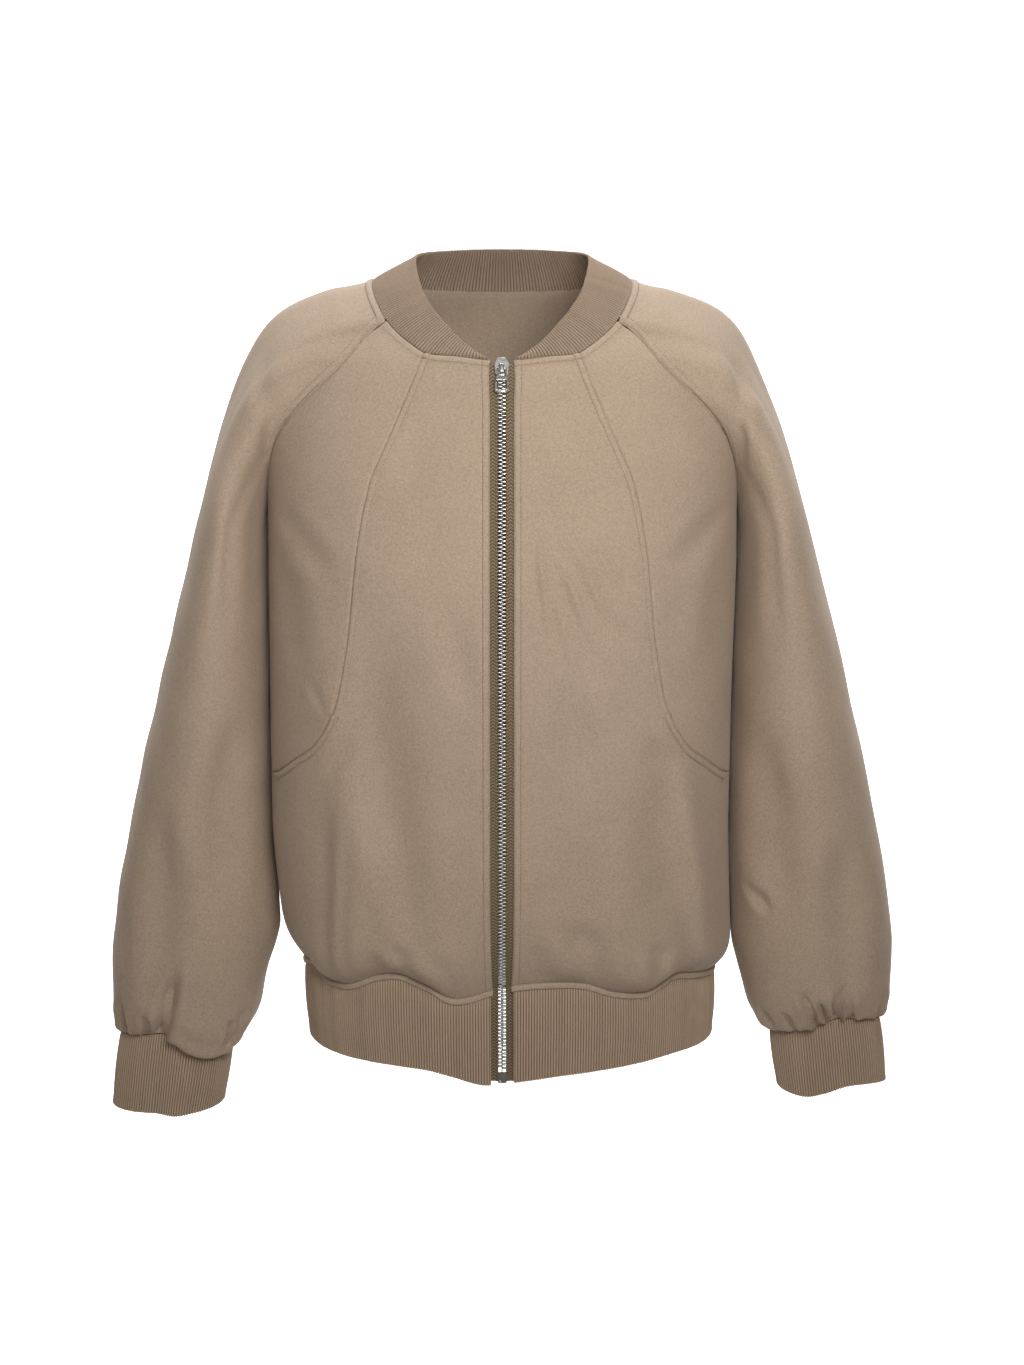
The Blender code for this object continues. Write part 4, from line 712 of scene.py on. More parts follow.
def sleeve_ring(side, turn, z):
    """Points of the sleeve's tube: turn 0 towards the body, 0.25 front, 0.5 outer, 0.75 back."""
    angle = np.asarray(turn, float) * 2 * math.pi
    outer = smooth(SLEEVE, "z", f"{side}_outer", z)
    inner = smooth(SLEEVE, "z", f"{side}_inner", z)
    x = (outer + inner) / 2 - (outer - inner) / 2 * np.cos(angle)
    y = smooth(SLEEVE, "z", "middle_y", z) - smooth(SLEEVE, "z", "half_depth", z) * np.sin(angle)
    return np.stack([x, y, np.broadcast_to(np.asarray(z, float), x.shape)], axis=-1)


def cuff_ring(side, turn, share):
    """Points of a cuff, from its seam at share 0 to its edge at share 1."""
    cuff = CUFFS[side]
    angle = np.asarray(turn, float) * 2 * math.pi
    middle = cuff["seam_x"] + (cuff["edge_x"] - cuff["seam_x"]) * share
    x = middle - cuff["half"] * np.cos(angle)
    y = CUFF_MIDDLE_Y - cuff["depth"] * np.sin(angle)
    seam = cuff["seam"] + smooth(CUFF_WAVES, "turn", f"{side}_seam", turn)
    edge = cuff["edge"] + smooth(CUFF_WAVES, "turn", f"{side}_edge", turn)
    return np.stack([x, y, seam + (edge - seam) * share], axis=-1)


def sleeve_turns(count):
    """Places round the sleeve, closer together at its seam under the arm."""
    share = np.arange(count) / count
    return share - 0.35 * np.sin(share * 2 * math.pi) / (2 * math.pi)


def raglan_loop(sign, turn):
    """Points, normals and leading directions of a sleeve's sewn edge, turned to the right side."""
    neck_from = NECK_TURNS[0]
    mirror = np.array([sign, 1, 1])
    points, normals, leads = [], [], []
    for t in turn:
        mirrored = min(t, 1 - t)
        climb = min(mirrored / neck_from, 1) ** 1.25
        if mirrored <= neck_from + 1e-9:
            behind = t > 0.5
            table = BACK_RAGLAN if behind else FRONT_RAGLAN
            z = ARMPIT_Z + (table["z"][0] - VISUAL_GAP - ARMPIT_Z) * climb
            at = turn_at(float(smooth(table, "z", "x", z)) - VISUAL_GAP, z, behind)
            limit = 2 - SIDE_SEAM_TURN if behind else SIDE_SEAM_TURN
            at = (max(float(at), limit) if behind else min(float(at), limit)) * sign
            point, normal = torso(at, z) * mirror, torso_normal(np.array(at), np.array(z)) * mirror
        else:
            share = (t - neck_from) / (NECK_TURNS[1] - neck_from)
            share = FRONT_RAGLAN_SHARE + (BACK_RAGLAN_SHARE - FRONT_RAGLAN_SHARE) * share
            point, normal = (part[0] for part in neck_curve([share]))
            point = point - (0, 0, VISUAL_GAP)
        near_armpit = math.exp(-((mirrored / 0.03) ** 2))
        lead = np.array([float(smooth(SHOULDER_LEAD, "climb", "x", climb)), 0,
                         float(smooth(SHOULDER_LEAD, "climb", "z", climb))])
        flat = unit(lead - unit(normal) * (lead @ unit(normal)))
        lead = unit(flat * (1 - near_armpit) + lead * near_armpit)
        normal = normal * (1 - near_armpit) + np.array([0.25, 0, -0.97]) * near_armpit
        points.append(point + lead * VISUAL_GAP * 3)
        normals.append(normal)
        leads.append(lead)
    return np.array(points), np.array(normals), np.array(leads)


def middle_line(ring):
    """The middle of a ring of points."""
    return ring.mean(axis=0, keepdims=True)


def sleeve_grid(side):
    """The outer points of a sleeve, seam row first, and its turns."""
    turn = sleeve_turns(SLEEVE_COLUMNS)
    loop, _, leads = raglan_loop(SIDES[side], turn)
    ring_z = float(SLEEVE["z"][0])
    first = sleeve_ring(side, turn, np.full(len(turn), ring_z))
    down = unit(sleeve_ring(side, turn, np.full(len(turn), ring_z - 30)) - first)
    chord = np.linalg.norm(first - loop, axis=1)[:, None]
    corner = SHOULDER_CORNER[side]
    near_top = np.exp(-(((turn - 0.5) / CORNER_TURNS) ** 2))[:, None]
    pull = smooth(SHOULDER_PULL, "turn", "pull", turn)[:, None] * chord
    pull_seam = pull * (1 + (corner["pull_seam"] - 1) * near_top)
    pull_ring = pull * (1 + (corner["pull_ring"] - 1) * near_top)
    outward = np.array([corner["x"], 0, corner["z"]]) * corner["rise"] * near_top
    rows = []
    for s in np.linspace(0, 1, 90):
        blend = (2 * s**3 - 3 * s**2 + 1) * loop + (3 * s**2 - 2 * s**3) * first
        blend = blend + (s**3 - 2 * s**2 + s) * pull_seam * leads + (s**3 - s**2) * pull_ring * down
        lifted = math.exp(-(((s - corner["at"]) / corner["spread"]) ** 2)) * min(s / 0.08, 1)
        rows.append(blend + outward * lifted)
    seam = cuff_ring(side, turn, 0.0)
    low = seam[:, 2] + VISUAL_GAP
    for share in np.linspace(0, 1, 160)[1:]:
        z = ring_z + (low - ring_z) * share
        full = sleeve_ring(side, turn, z)
        drawn = np.clip(1 - (z - low) / PUFF_HEIGHT, 0, 1)[:, None] ** 3
        ring = full + (seam - full) * drawn
        ring[:, 2] = z
        near = np.clip(1 - (z - low) / OVERHANG_REACH, 0, 1)
        hang = smooth(OVERHANGS[side], "turn", "hang", turn) * np.sin(near**1.6 * math.pi) ** 1.3
        outward = unit((ring - middle_line(seam)) * (1, 1, 0))
        rows.append(ring + outward * (hang * 0.75)[:, None] - hang[:, None] * np.array([0, 0, 0.8]))
    grid = np.stack(rows)
    columns = np.swapaxes(grid, 0, 1)
    lengths = line_lengths(columns)
    spaced = []
    for column, length in zip(columns, lengths):
        first_near = np.array(STITCHED_OFFSETS) * min(1, length[-1] / 60)
        places = clustered(length[-1], SLEEVE_ROWS, first_near, PLAIN_OFFSETS)
        spaced.append(np.stack([np.interp(places, length, column[:, k]) for k in range(3)], axis=-1))
    return np.swapaxes(np.stack(spaced), 0, 1), turn


# Materials


def socket(shader, name, value):
    shader.inputs[name].default_value = value


def new_material(name, roughness, metallic=0.0):
    """A principled material, its node tree and its shader."""
    made = bpy.data.materials.new(name)
    made.use_nodes = True
    tree = made.node_tree
    shader = tree.nodes["Principled BSDF"]
    socket(shader, "Roughness", roughness)
    socket(shader, "Metallic", metallic)
    return made, tree, shader


def node(tree, kind, **inputs):
    made = tree.nodes.new(kind)
    for name, value in inputs.items():
        made.inputs[name].default_value = value
    return made


def object_place(tree, scale):
    """Object coordinates, stretched by a scale along each axis."""
    where = tree.nodes.new("ShaderNodeTexCoord")
    mapping = node(tree, "ShaderNodeMapping", Scale=scale)
    tree.links.new(where.outputs["Object"], mapping.inputs["Vector"])
    return mapping.outputs["Vector"]


def noise(tree, place, scale, detail=2.0, roughness=0.5):
    made = node(tree, "ShaderNodeTexNoise", Scale=scale, Detail=detail, Roughness=roughness)
    tree.links.new(place, made.inputs["Vector"])
    return made.outputs["Fac"]


def paint(tree, shader, factor, colour, shades):
    """Base colour from shades of one colour, given as pairs of a factor's value and a shade."""
    made = tree.nodes.new("ShaderNodeValToRGB")
    stops = [(place, (*(min(1.0, c * shade) for c in colour), 1)) for place, shade in shades]
    first, last = made.color_ramp.elements[0], made.color_ramp.elements[-1]
    first.position, first.color = stops[0]
    last.position, last.color = stops[-1]
    for place, tinted in stops[1:-1]:
        made.color_ramp.elements.new(place).color = tinted
    tree.links.new(factor, made.inputs["Fac"])
    tree.links.new(made.outputs["Color"], shader.inputs["Base Color"])


def maths(tree, operation, first, second):
    made = tree.nodes.new("ShaderNodeMath")
    made.operation = operation
    for slot, value in zip(made.inputs, (first, second)):
        if isinstance(value, (int, float)):
            slot.default_value = value
        else:
            tree.links.new(value, slot)
    return made.outputs[0]


def weighted(tree, first, *others):
    """The sum of several values, each given with its weight."""
    total = maths(tree, "MULTIPLY", *first)
    for value, weight in others:
        total = maths(tree, "ADD", total, maths(tree, "MULTIPLY", value, weight))
    return total


def ridge_height_for_painted_shade(tree):
    """How high each point stands among its ribs or threads, which the materials turn into painted shade low
    between them.
    """
    made = tree.nodes.new("ShaderNodeAttribute")
    made.attribute_name = RIDGE
    return made.outputs["Fac"]


def bump(tree, shader, height, distance, strength=1.0):
    made = node(tree, "ShaderNodeBump", Strength=strength, Distance=distance)
    tree.links.new(height, made.inputs["Height"])
    tree.links.new(made.outputs["Normal"], shader.inputs["Normal"])


def cloth_material():
    """Smooth double knit: faint mottling, a fine grain of loops, a soft nap."""
    made, tree, shader = new_material("double_knit", 0.82)
    socket(shader, "Sheen Weight", 0.22)
    socket(shader, "Sheen Roughness", 0.45)
    socket(shader, "Sheen Tint", (0.86, 0.80, 0.74, 1))
    socket(shader, "Specular IOR Level", 0.25)
    even = object_place(tree, (1, 1, 1))
    patches = noise(tree, even, 16.0, 3.0, 0.6)
    specks = noise(tree, even, 620.0, 2.0, 0.7)
    loops = noise(tree, object_place(tree, (1, 1, 0.62)), 1500.0, 1.0, 0.5)
    mixed = weighted(tree, (patches, 0.12), (specks, 0.5), (loops, 0.38))
    paint(tree, shader, mixed, CLOTH_COLOUR, ((0.36, 0.80), (0.5, 1.0), (0.64, 1.16)))
    bump(tree, shader, weighted(tree, (specks, 0.55), (loops, 0.45)), 0.0005, 0.6)
    return made


def rib_material(name, base):
    """Rib knit: the loops of each rib, with painted shade in the valleys between the ribs."""
    made, tree, shader = new_material(name, 0.86)
    socket(shader, "Sheen Weight", 0.2)
    socket(shader, "Sheen Roughness", 0.5)
    socket(shader, "Sheen Tint", (0.84, 0.76, 0.68, 1))
    socket(shader, "Specular IOR Level", 0.2)
    even = object_place(tree, (1, 1, 1))
    patches = noise(tree, even, 22.0, 2.0, 0.6)
    loops = noise(tree, object_place(tree, (1, 1, 1.7)), 780.0, 1.0, 0.4)
    # painted shade: the ridge height darkens the valleys between the ribs
    mixed = weighted(tree, (patches, 0.12), (loops, 0.3), (ridge_height_for_painted_shade(tree), 0.58))
    paint(tree, shader, mixed, base, ((0.2, 0.42), (0.5, 0.86), (0.82, 1.22)))
    bump(tree, shader, loops, 0.0005, 0.6)
    return made


def tape_material():
    """Woven tape: its threads run in the geometry, with painted shade between them."""
    made, tree, shader = new_material("herringbone_tape", 0.8)
    socket(shader, "Specular IOR Level", 0.25)
    fine = noise(tree, object_place(tree, (1, 1, 1)), 1800.0, 2.0, 0.6)
    # painted shade: darker where the threads lie low
    mixed = weighted(tree, (fine, 0.3), (ridge_height_for_painted_shade(tree), 0.7))
    paint(tree, shader, mixed, TAPE_COLOUR, ((0.15, 0.42), (0.5, 1.0), (0.85, 1.5)))
    bump(tree, shader, fine, 0.0003, 0.5)
    return made


def metal_material(name, colour, roughness):
    """Cast metal with a worn, slightly cloudy polish."""
    made, tree, shader = new_material(name, roughness, 1.0)
    cloud = noise(tree, object_place(tree, (1, 1, 1)), 420.0, 3.0, 0.6)
    paint(tree, shader, cloud, colour, ((0.3, 0.82), (0.7, 1.12)))
    rough = maths(tree, "ADD", maths(tree, "MULTIPLY", cloud, 0.25), roughness - 0.12)
    tree.links.new(rough, shader.inputs["Roughness"])
    bump(tree, shader, cloud, 0.0001, 0.25)
    return made


def thread_material():
    """Spun sewing thread of the cloth's tone, painted darker as painted shade of its stitch holes and groove.
    """
    made, tree, shader = new_material("thread", 0.7)
    twist = noise(tree, object_place(tree, (1, 1, 1)), 2600.0, 1.0, 0.5)
    paint(tree, shader, twist, PAINTED_SHADE_THREAD_COLOUR, ((0.3, 0.75), (0.7, 1.2)))
    return made


# Meshes


def linked(name, data):
    """A new object in the scene."""
    obj = bpy.data.objects.new(name, data)
    bpy.context.scene.collection.objects.link(obj)
    return obj


def mesh_object(name, points, faces, material, body="jacket", ridge=None):
    """A mesh in millimetres, smooth but for its sharp rims, riding on a body.

    ridge is how high each point stands among its threads or ribs, from 0 to 1; the materials paint shade
    where it is low."""
    mesh = bpy.data.meshes.new(name)
    mesh.from_pydata((np.asarray(points) * MM).tolist(), [], faces)
    if ridge is not None:
        layer = mesh.attributes.new(RIDGE, "FLOAT", "POINT")
        layer.data.foreach_set("value", np.asarray(ridge, np.float32))
    mesh.validate()
    mesh.shade_smooth()
    mesh.set_sharp_from_angle(angle=math.radians(62))
    mesh.materials.append(material)
    obj = linked(name, mesh)
    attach(obj, body)
    return obj


def stitch_lines(first, second):
    """Triangles between two lines of points, which may hold different numbers of them."""
    faces = []
    i = j = 0
    last_i, last_j = len(first) - 1, len(second) - 1
    while i < last_i or j < last_j:
        if j == last_j or (i < last_i and (i + 1) * last_j <= (j + 1) * last_i):
            faces.append((first[i], second[j], first[i + 1]))
            i += 1
        else:
            faces.append((first[i], second[j], second[j + 1]))
            j += 1
    return faces


def grid_faces(ids, flipped):
    a, b, c, d = ids[:-1, :-1], ids[1:, :-1], ids[1:, 1:], ids[:-1, 1:]
    order = (d, c, b, a) if flipped else (a, b, c, d)
    return np.stack(order, axis=-1).reshape(-1, 4).tolist()


def closed(ids, axis):
    """A grid of numbers whose first line along an axis follows its last once more."""
    return np.concatenate([ids, ids.take([0], axis)], axis)


def ring_faces(rings, count, base):
    """Faces of a piece made of rings of points numbered from a base, closed at both ends."""
    faces = []
    for start in range(base, base + (rings - 1) * count, count):
        for k in range(count):
            a, b = start + k, start + (k + 1) % count
            faces.append((a, b, b + count, a + count))
    last = base + (rings - 1) * count
    return faces + [tuple(range(base + count - 1, base - 1, -1)), tuple(range(last, last + count))]


def facing_out(points, faces):
    """The faces of a closed piece, all turned if they look inwards."""
    return [face[::-1] for face in faces] if signed_volume(points, faces) < 0 else faces


def sparse(count, step):
    """Every so many of a number of places, and always the last one."""
    return np.unique(np.append(np.arange(0, count, step), count - 1))


def shell(name, outer, inner, material, wrapped=False, ridge=None):
    """A closed wall between an outer and an inner grid of points."""
    rows, columns = outer.shape[:2]
    points = np.concatenate([outer.reshape(-1, 3), inner.reshape(-1, 3)])
    outer_ids = np.arange(rows * columns).reshape(rows, columns)
    inner_ids = rows * columns + np.arange(inner.shape[0] * inner.shape[1]).reshape(inner.shape[:2])
    if wrapped:
        outer_ids, inner_ids = closed(outer_ids, 1), closed(inner_ids, 1)
    faces = grid_faces(outer_ids, False) + grid_faces(inner_ids, True)
    faces += [face[::-1] for face in stitch_lines(outer_ids[0].tolist(), inner_ids[0].tolist())]
    faces += stitch_lines(outer_ids[-1].tolist(), inner_ids[-1].tolist())
    if not wrapped:
        faces += stitch_lines(outer_ids[:, 0].tolist(), inner_ids[:, 0].tolist())
        right = stitch_lines(outer_ids[:, -1].tolist(), inner_ids[:, -1].tolist())
        faces += [face[::-1] for face in right]
    if ridge is not None:
        # inner faces get a middling ridge height, so a middling painted shade
        ridge = np.concatenate([ridge.reshape(-1), np.full(inner.size // 3, 0.6)])
    return mesh_object(name, points, facing_out(points, faces), material, ridge=ridge)


def signed_volume(points, faces):
    """Six times the volume within the three- and four-sided faces, below 0 if they look inwards."""
    total = 0.0
    for count in (3, 4):
        group = np.array([face for face in faces if len(face) == count])
        if len(group):
            corners = points[group]
            for k in range(1, count - 1):
                turned = np.cross(corners[:, k], corners[:, k + 1])
                total += float((corners[:, 0] * turned).sum())
    return total


def finely(line, pitch):
    """A line of points laid out again with an even pitch, and the length at each point."""
    length = line_lengths(line)
    count = max(int(length[-1] / pitch), 2)
    at = np.linspace(0, length[-1], count + 1)
    return np.stack([np.interp(at, length, line[:, k]) for k in range(3)], axis=-1), at


def edge_distance(points, line):
    """How far each point of a grid lies from a line, and how far along the line it is nearest."""
    fine, length = finely(line, 0.5)
    tree = kdtree.KDTree(len(fine))
    for k, point in enumerate(fine):
        tree.insert(point, k)
    tree.balance()
    found = [tree.find(point) for point in points.reshape(-1, 3)]
    distance = np.array([hit[2] for hit in found]).reshape(points.shape[:2])
    place = np.array([length[hit[1]] for hit in found]).reshape(points.shape[:2])
    return distance, place


def seam_relief(distance, place, stitched, seed):
    """The cloth's rise near a seam: it rolls in at the seam and stands up over its allowance."""
    lift = -SEAM_ROLL * np.exp(-((distance / SEAM_ROLL_REACH) ** 2))
    if stitched:
        fold = ease(distance / 1.2) * (1 - ease((distance - STITCH_LINE + 0.5) / 1.5))
        pucker = waver(place, np.zeros(place.shape), 7.5, seed)
        lift = lift + stitched * ALLOWANCE_RISE * fold * (1 + 0.18 * pucker)
        lift = lift - STITCH_GROOVE * np.exp(-(((distance - STITCH_LINE - 0.2) / 0.6) ** 2))
        lift = lift + 0.28 * pucker * np.exp(-(((distance - STITCH_LINE - 2.5) / 3.5) ** 2))
    return lift


def crossing_line(points, normals, distance, level):
    """The line on a grid where the distance from its first column reaches a level."""
    line, faced = [], []
    for row in range(len(points)):
        beyond = np.nonzero(distance[row] >= level)[0]
        if not len(beyond) or beyond[0] == 0:
            continue
        k = beyond[0]
        low, high = distance[row, k - 1], distance[row, k]
        share = (level - low) / max(high - low, 1e-6)
        line.append(points[row, k - 1] * (1 - share) + points[row, k] * share)
        faced.append(normals[row, k])
    return np.array(line), np.array(faced)


def stitch_row(name, line, faced, material, pitch=STITCH_PITCH, length=STITCH_LENGTH):
    """A row of sewn stitches along a line on the cloth, as one object."""
    lengths = line_lengths(line)
    count = int(lengths[-1] / pitch)
    half, points, faces = STITCH_WIDTH / 2, [], []
    rings = ((0.0, 0.35, -0.16), (0.2, 1.0, 0.08), (0.5, 1.1, 0.13), (0.8, 1.0, 0.08), (1.0, 0.35, -0.16))
    for k in range(count):
        at = (k + 0.5) * pitch - length / 2 + np.array([ring[0] for ring in rings]) * length
        middle = np.stack([np.interp(at, lengths, line[:, j]) for j in range(3)], axis=-1)
        up = unit(np.array([np.interp(at[2], lengths, faced[:, j]) for j in range(3)]))
        ahead = unit(middle[-1] - middle[0])
        side = unit(np.cross(ahead, up))
        base = len(points)
        for (_, size, rise), centre in zip(rings, middle):
            for corner in range(6):
                angle = corner * math.pi / 3
                off = side * math.cos(angle) * half * size + up * (math.sin(angle) * half * size + rise)
                points.append(centre + off)
        faces += ring_faces(len(rings), 6, base)
    return mesh_object(name, points, faces, material)


def cloth_piece(name, points, edges, wrapped=False, normals=None):
    """A cut piece of cloth: its base grid of points with seams worked into its outer face.

    edges lists, for each seam: which side of the grid it is, how much of the relief beside its
    stitches it shows (0 without stitches), a seed, and the heights between which it runs, if not
    all along."""
    if normals is None:
        normals = grid_normal(points, wrapped, points - points.mean(axis=1, keepdims=True))
    lift = np.zeros(points.shape[:2])
    rows = []
    borders = {"top": points[0], "bottom": points[-1], "first": points[:, 0], "last": points[:, -1]}
    for side, stitched, seed, *span in edges:
        line = borders[side]
        if wrapped and side in ("top", "bottom"):
            line = closed(line, 0)
        if span:
            line = line[(line[:, 2] >= span[0]) & (line[:, 2] <= span[1])]
        distance, place = edge_distance(points, line)
        lift = lift + seam_relief(distance, place, stitched, seed)
        rows.append((side, stitched, distance))
    lift = np.clip(lift, *LIFT_LIMITS)
    outer = points + normals * lift[..., None]
    keep_rows, keep_columns = sparse(len(points), 3), sparse(points.shape[1], 3)
    if wrapped:
        keep_columns = np.arange(0, points.shape[1], 3)
    inner = (points - normals * CLOTH)[keep_rows][:, keep_columns]
    obj = shell(name, outer, inner, MATERIALS["cloth"], wrapped)
    turned = {
        "top": lambda grid: np.swapaxes(grid, 0, 1),
        "bottom": lambda grid: np.swapaxes(grid[::-1], 0, 1),
        "first": lambda grid: grid,
        "last": lambda grid: grid[:, ::-1],
    }
    sewn = []
    for side, stitched, distance in rows:
        if stitched:
            turn = turned[side]
            line, faced = crossing_line(turn(outer), turn(normals), turn(distance), STITCH_LINE)
            sewn.append(stitch_row(f"{name}_stitches_{side}", line, faced, MATERIALS["thread"]))
    return obj, sewn


# Cloth pieces


def front_centre(side, sign):
    turns, heights = centre_grid(sign)
    turns = turns * sign
    points, normals = torso(turns, heights), torso_normal(turns, heights)
    edges = (
        ("top", 0.8, 3),
        ("bottom", 0, 4),
        ("first", 0.5, 5),
        ("last", 0.9, 6, POCKET_MOUTH["z"][0] - 1, np.inf),
        ("last", 0, 7, -np.inf, POCKET_MOUTH["z"][-1] + 0.5),
    )
    obj, sewn = cloth_piece(f"front_centre_{side}_cloth", points, edges, normals=normals)
    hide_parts(f"front_centre_{side}")
    sewn.append(hem_strip(f"hem_strip_{side}", OPENING_TURN * sign, sign * 1.0))
    return obj, sewn


def front_side(side, sign):
    turns, heights = side_grid()
    turns = turns * sign
    points, normals = torso(turns, heights), torso_normal(turns, heights)
    edges = (("top", 0.8, 8), ("first", 0, 9), ("last", 0, 10),
             ("first", 0, 9, -np.inf, POCKET_MOUTH["z"][0]))
    obj, sewn = cloth_piece(f"front_side_{side}_cloth", points, edges, normals=normals)
    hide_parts(f"front_side_{side}")
    return obj, sewn


def back():
    turns, heights = back_grid()
    edges = (("top", 0.8, 12), ("bottom", 0, 13), ("first", 0, 14), ("last", 0, 15))
    normals = torso_normal(turns, heights)
    obj, sewn = cloth_piece("back_cloth", torso(turns, heights), edges, normals=normals)
    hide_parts("back")
    sewn.append(hem_strip("hem_strip_back", 1.0, 3.0))
    return obj, sewn


def sleeve(side):
    points, turn = sleeve_grid(side)
    normals = grid_normal(points, True, points - points.mean(axis=1, keepdims=True))
    z = points[..., 2]
    turns = np.broadcast_to(turn, z.shape)
    rise = crease_rise(SLEEVE_CREASES[side], turns * SLEEVE_ROUND, z, SLEEVE_ROUND)
    rise = rise + 0.7 * waver(np.sin(turns * 2 * math.pi) * 90, z, 70.0, 21 + len(side))
    from_seam = line_lengths(np.swapaxes(points, 0, 1)).T
    to_cuff = from_seam[-1] - from_seam
    rise = rise * ease((from_seam - 1.0) / 20) * ease((to_cuff - 0.3) / 5.0)
    points = points + normals * rise[..., None]
    mirror = (SIDES[side], 1, 1)
    sewn_normals = raglan_loop(SIDES[side], turn)[1]
    own_normals = grid_normal(points, True, points - points.mean(axis=1, keepdims=True))
    near_seam = (np.clip(1 - from_seam / SHARED_NORMALS, 0, 1) ** 2)[..., None]
    normals = unit(own_normals + (sewn_normals - own_normals) * near_seam) * mirror
    points = points * mirror
    edges = (("top", 1.3, 16), ("bottom", 0, 17), ("first", 0, 18))
    obj, sewn = cloth_piece(f"sleeve_{side}_cloth", points, edges, wrapped=True, normals=normals)
    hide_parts(f"sleeve_{side}")
    return obj, sewn


def pocket_edge(side, sign):
    """The folded band along a pocket's mouth, with its row of stitches and a bar tack at each end."""
    rows, columns = 90, 11
    z = np.linspace(PRINCESS["z"][-1] - 1, POCKET_MOUTH["z"][-1] + 3, rows)
    x = princess_x(z)
    away = unit(np.stack([np.ones(rows), np.gradient(x, z)], axis=-1))
    across = np.linspace(0, 1, columns)[:, None]
    offset = POCKET_START + (POCKET_BAND - POCKET_START) * across
    gx, gz = x - away[:, 0] * offset, z + away[:, 1] * offset
    turns = turn_at(gx, gz) * sign
    base, normals = torso(turns, gz), torso_normal(turns, gz)
    round_over = np.sqrt(np.clip(1 - np.abs(2 * across - 1) ** 3.2, 0, 1))
    ends = np.sqrt(np.clip(1 - np.abs(np.linspace(-1, 1, rows)) ** 30, 0, 1))
    lift = 0.25 + (POCKET_RISE + 0.6) * round_over * ends
    lift = lift + 0.12 * waver(np.broadcast_to(z, lift.shape), offset * 0, 7.0, 31) * round_over
    lift = lift - 0.35 * np.exp(-(((offset - POCKET_STITCH) / 0.55) ** 2))
    outer = base + normals * lift[..., None]
    inner = (base + normals * POCKET_UNDER)[:, sparse(rows, 3)]
    name = f"pocket_edge_{side}"
    obj = shell(f"{name}_cloth", outer, inner, MATERIALS["cloth"])
    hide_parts(name)
    at = int(round((POCKET_STITCH - POCKET_START) / (POCKET_BAND - POCKET_START) * (columns - 1)))
    sewn = [stitch_row(f"{name}_stitches", outer[at], normals[at], MATERIALS["thread"])]
    for label, row in (("upper", 1), ("lower", rows - 2)):
        reach_out = np.linspace(-0.5, 1.5, 24)[:, None]
        line = outer[0, row] + (outer[-1, row] - outer[0, row]) * reach_out
        faced = np.broadcast_to(normals[5, row], line.shape)
        line = line + faced * 0.3
        sewn.append(stitch_row(f"{name}_tack_{label}", line, faced, MATERIALS["thread"], 0.62, 0.5))
    return obj, sewn


def hem_strip(name, start, end):
    """The stitched-down allowance above the hem seam: a flat raised strip with soft edges."""
    turns = np.linspace(start, end, int(abs(end - start) * 280))
    turned = np.where(turns > 2, turns - 4, turns)
    low = hem_seam(turned)
    slope = np.gradient(low, line_lengths(section(BAND, turned, low)))
    lean = np.minimum(np.sqrt(1 + slope**2), 1.5)
    rows, inner = [], []
    pucker = 1 + 0.1 * waver(turns * 270, turns * 0, 9.0, 51)
    for k in np.linspace(0, 1, 13):
        z = low + STRIP_HEIGHT * lean * k
        rim = section(BAND, turned, z)
        out = unit(rim * (1, 1, 0))
        edge = (1 - abs(2 * k - 1) ** 3.5) ** 0.5 if 0 < k < 1 else 0.0
        rows.append(rim + out * (0.2 + STRIP_RISE * edge * pucker)[:, None])
        inner.append(rim + out * 0.05)
    keep = sparse(len(turns), 3)
    return shell(name, np.stack(rows), np.stack(inner)[:, keep][::3], MATERIALS["cloth"])


# Rib knit


def rib_rise(count, seed):
    """The rise of each of the points round a ribbed band: full ribs with narrow valleys."""
    at = np.arange(count) / RIB_POINTS
    uneven = 1 + 0.12 * waver(at, at * 0, 5.0, seed)
    return (RIB_RISE + RIB_VALLEY) * uneven * np.abs(np.cos(at * math.pi)) ** 0.7 - RIB_VALLEY


def band_loops(top, bottom, normals, rise, bulge, folded_at_top, rows):
    """Lines of points round a folded band's cross-section, from its sewn edge over the fold and back."""
    sewn, fold = (bottom, top) if folded_at_top else (top, bottom)
    sewn_normal, fold_normal = (normals[1], normals[0]) if folded_at_top else (normals[0], normals[1])
    ahead = unit(fold - sewn)
    radius = (RIB_WALL + RIB_RISE) / 2
    loops = []

    def at(share, lift):
        normal = unit(sewn_normal * (1 - share) + fold_normal * share)
        centre = sewn + (fold - ahead * radius - sewn) * share
        swell = bulge * math.sin(math.pi * min(share * 1.15, 1)) ** 0.8
        return centre + normal * (swell + lift)[:, None]

    for share in np.linspace(0, 1, rows):
        near_seam = ease(share * rows / 1.6 + 0.25)
        loops.append(at(share, rise * near_seam))
    normal = unit(fold_normal)
    middle = at(1.0, rise * 0 + (RIB_RISE - RIB_WALL) / 2)
    for angle in np.linspace(0, math.pi, 9)[1:-1]:
        depth = (rise - RIB_RISE) + radius
        spread = normal * math.cos(angle) + ahead * math.sin(angle)
        loops.append(middle + spread * depth[:, None])
    for share in np.linspace(1, 0, rows):
        loops.append(at(share, -RIB_WALL + RIB_RISE - rise))
    return np.stack(loops)


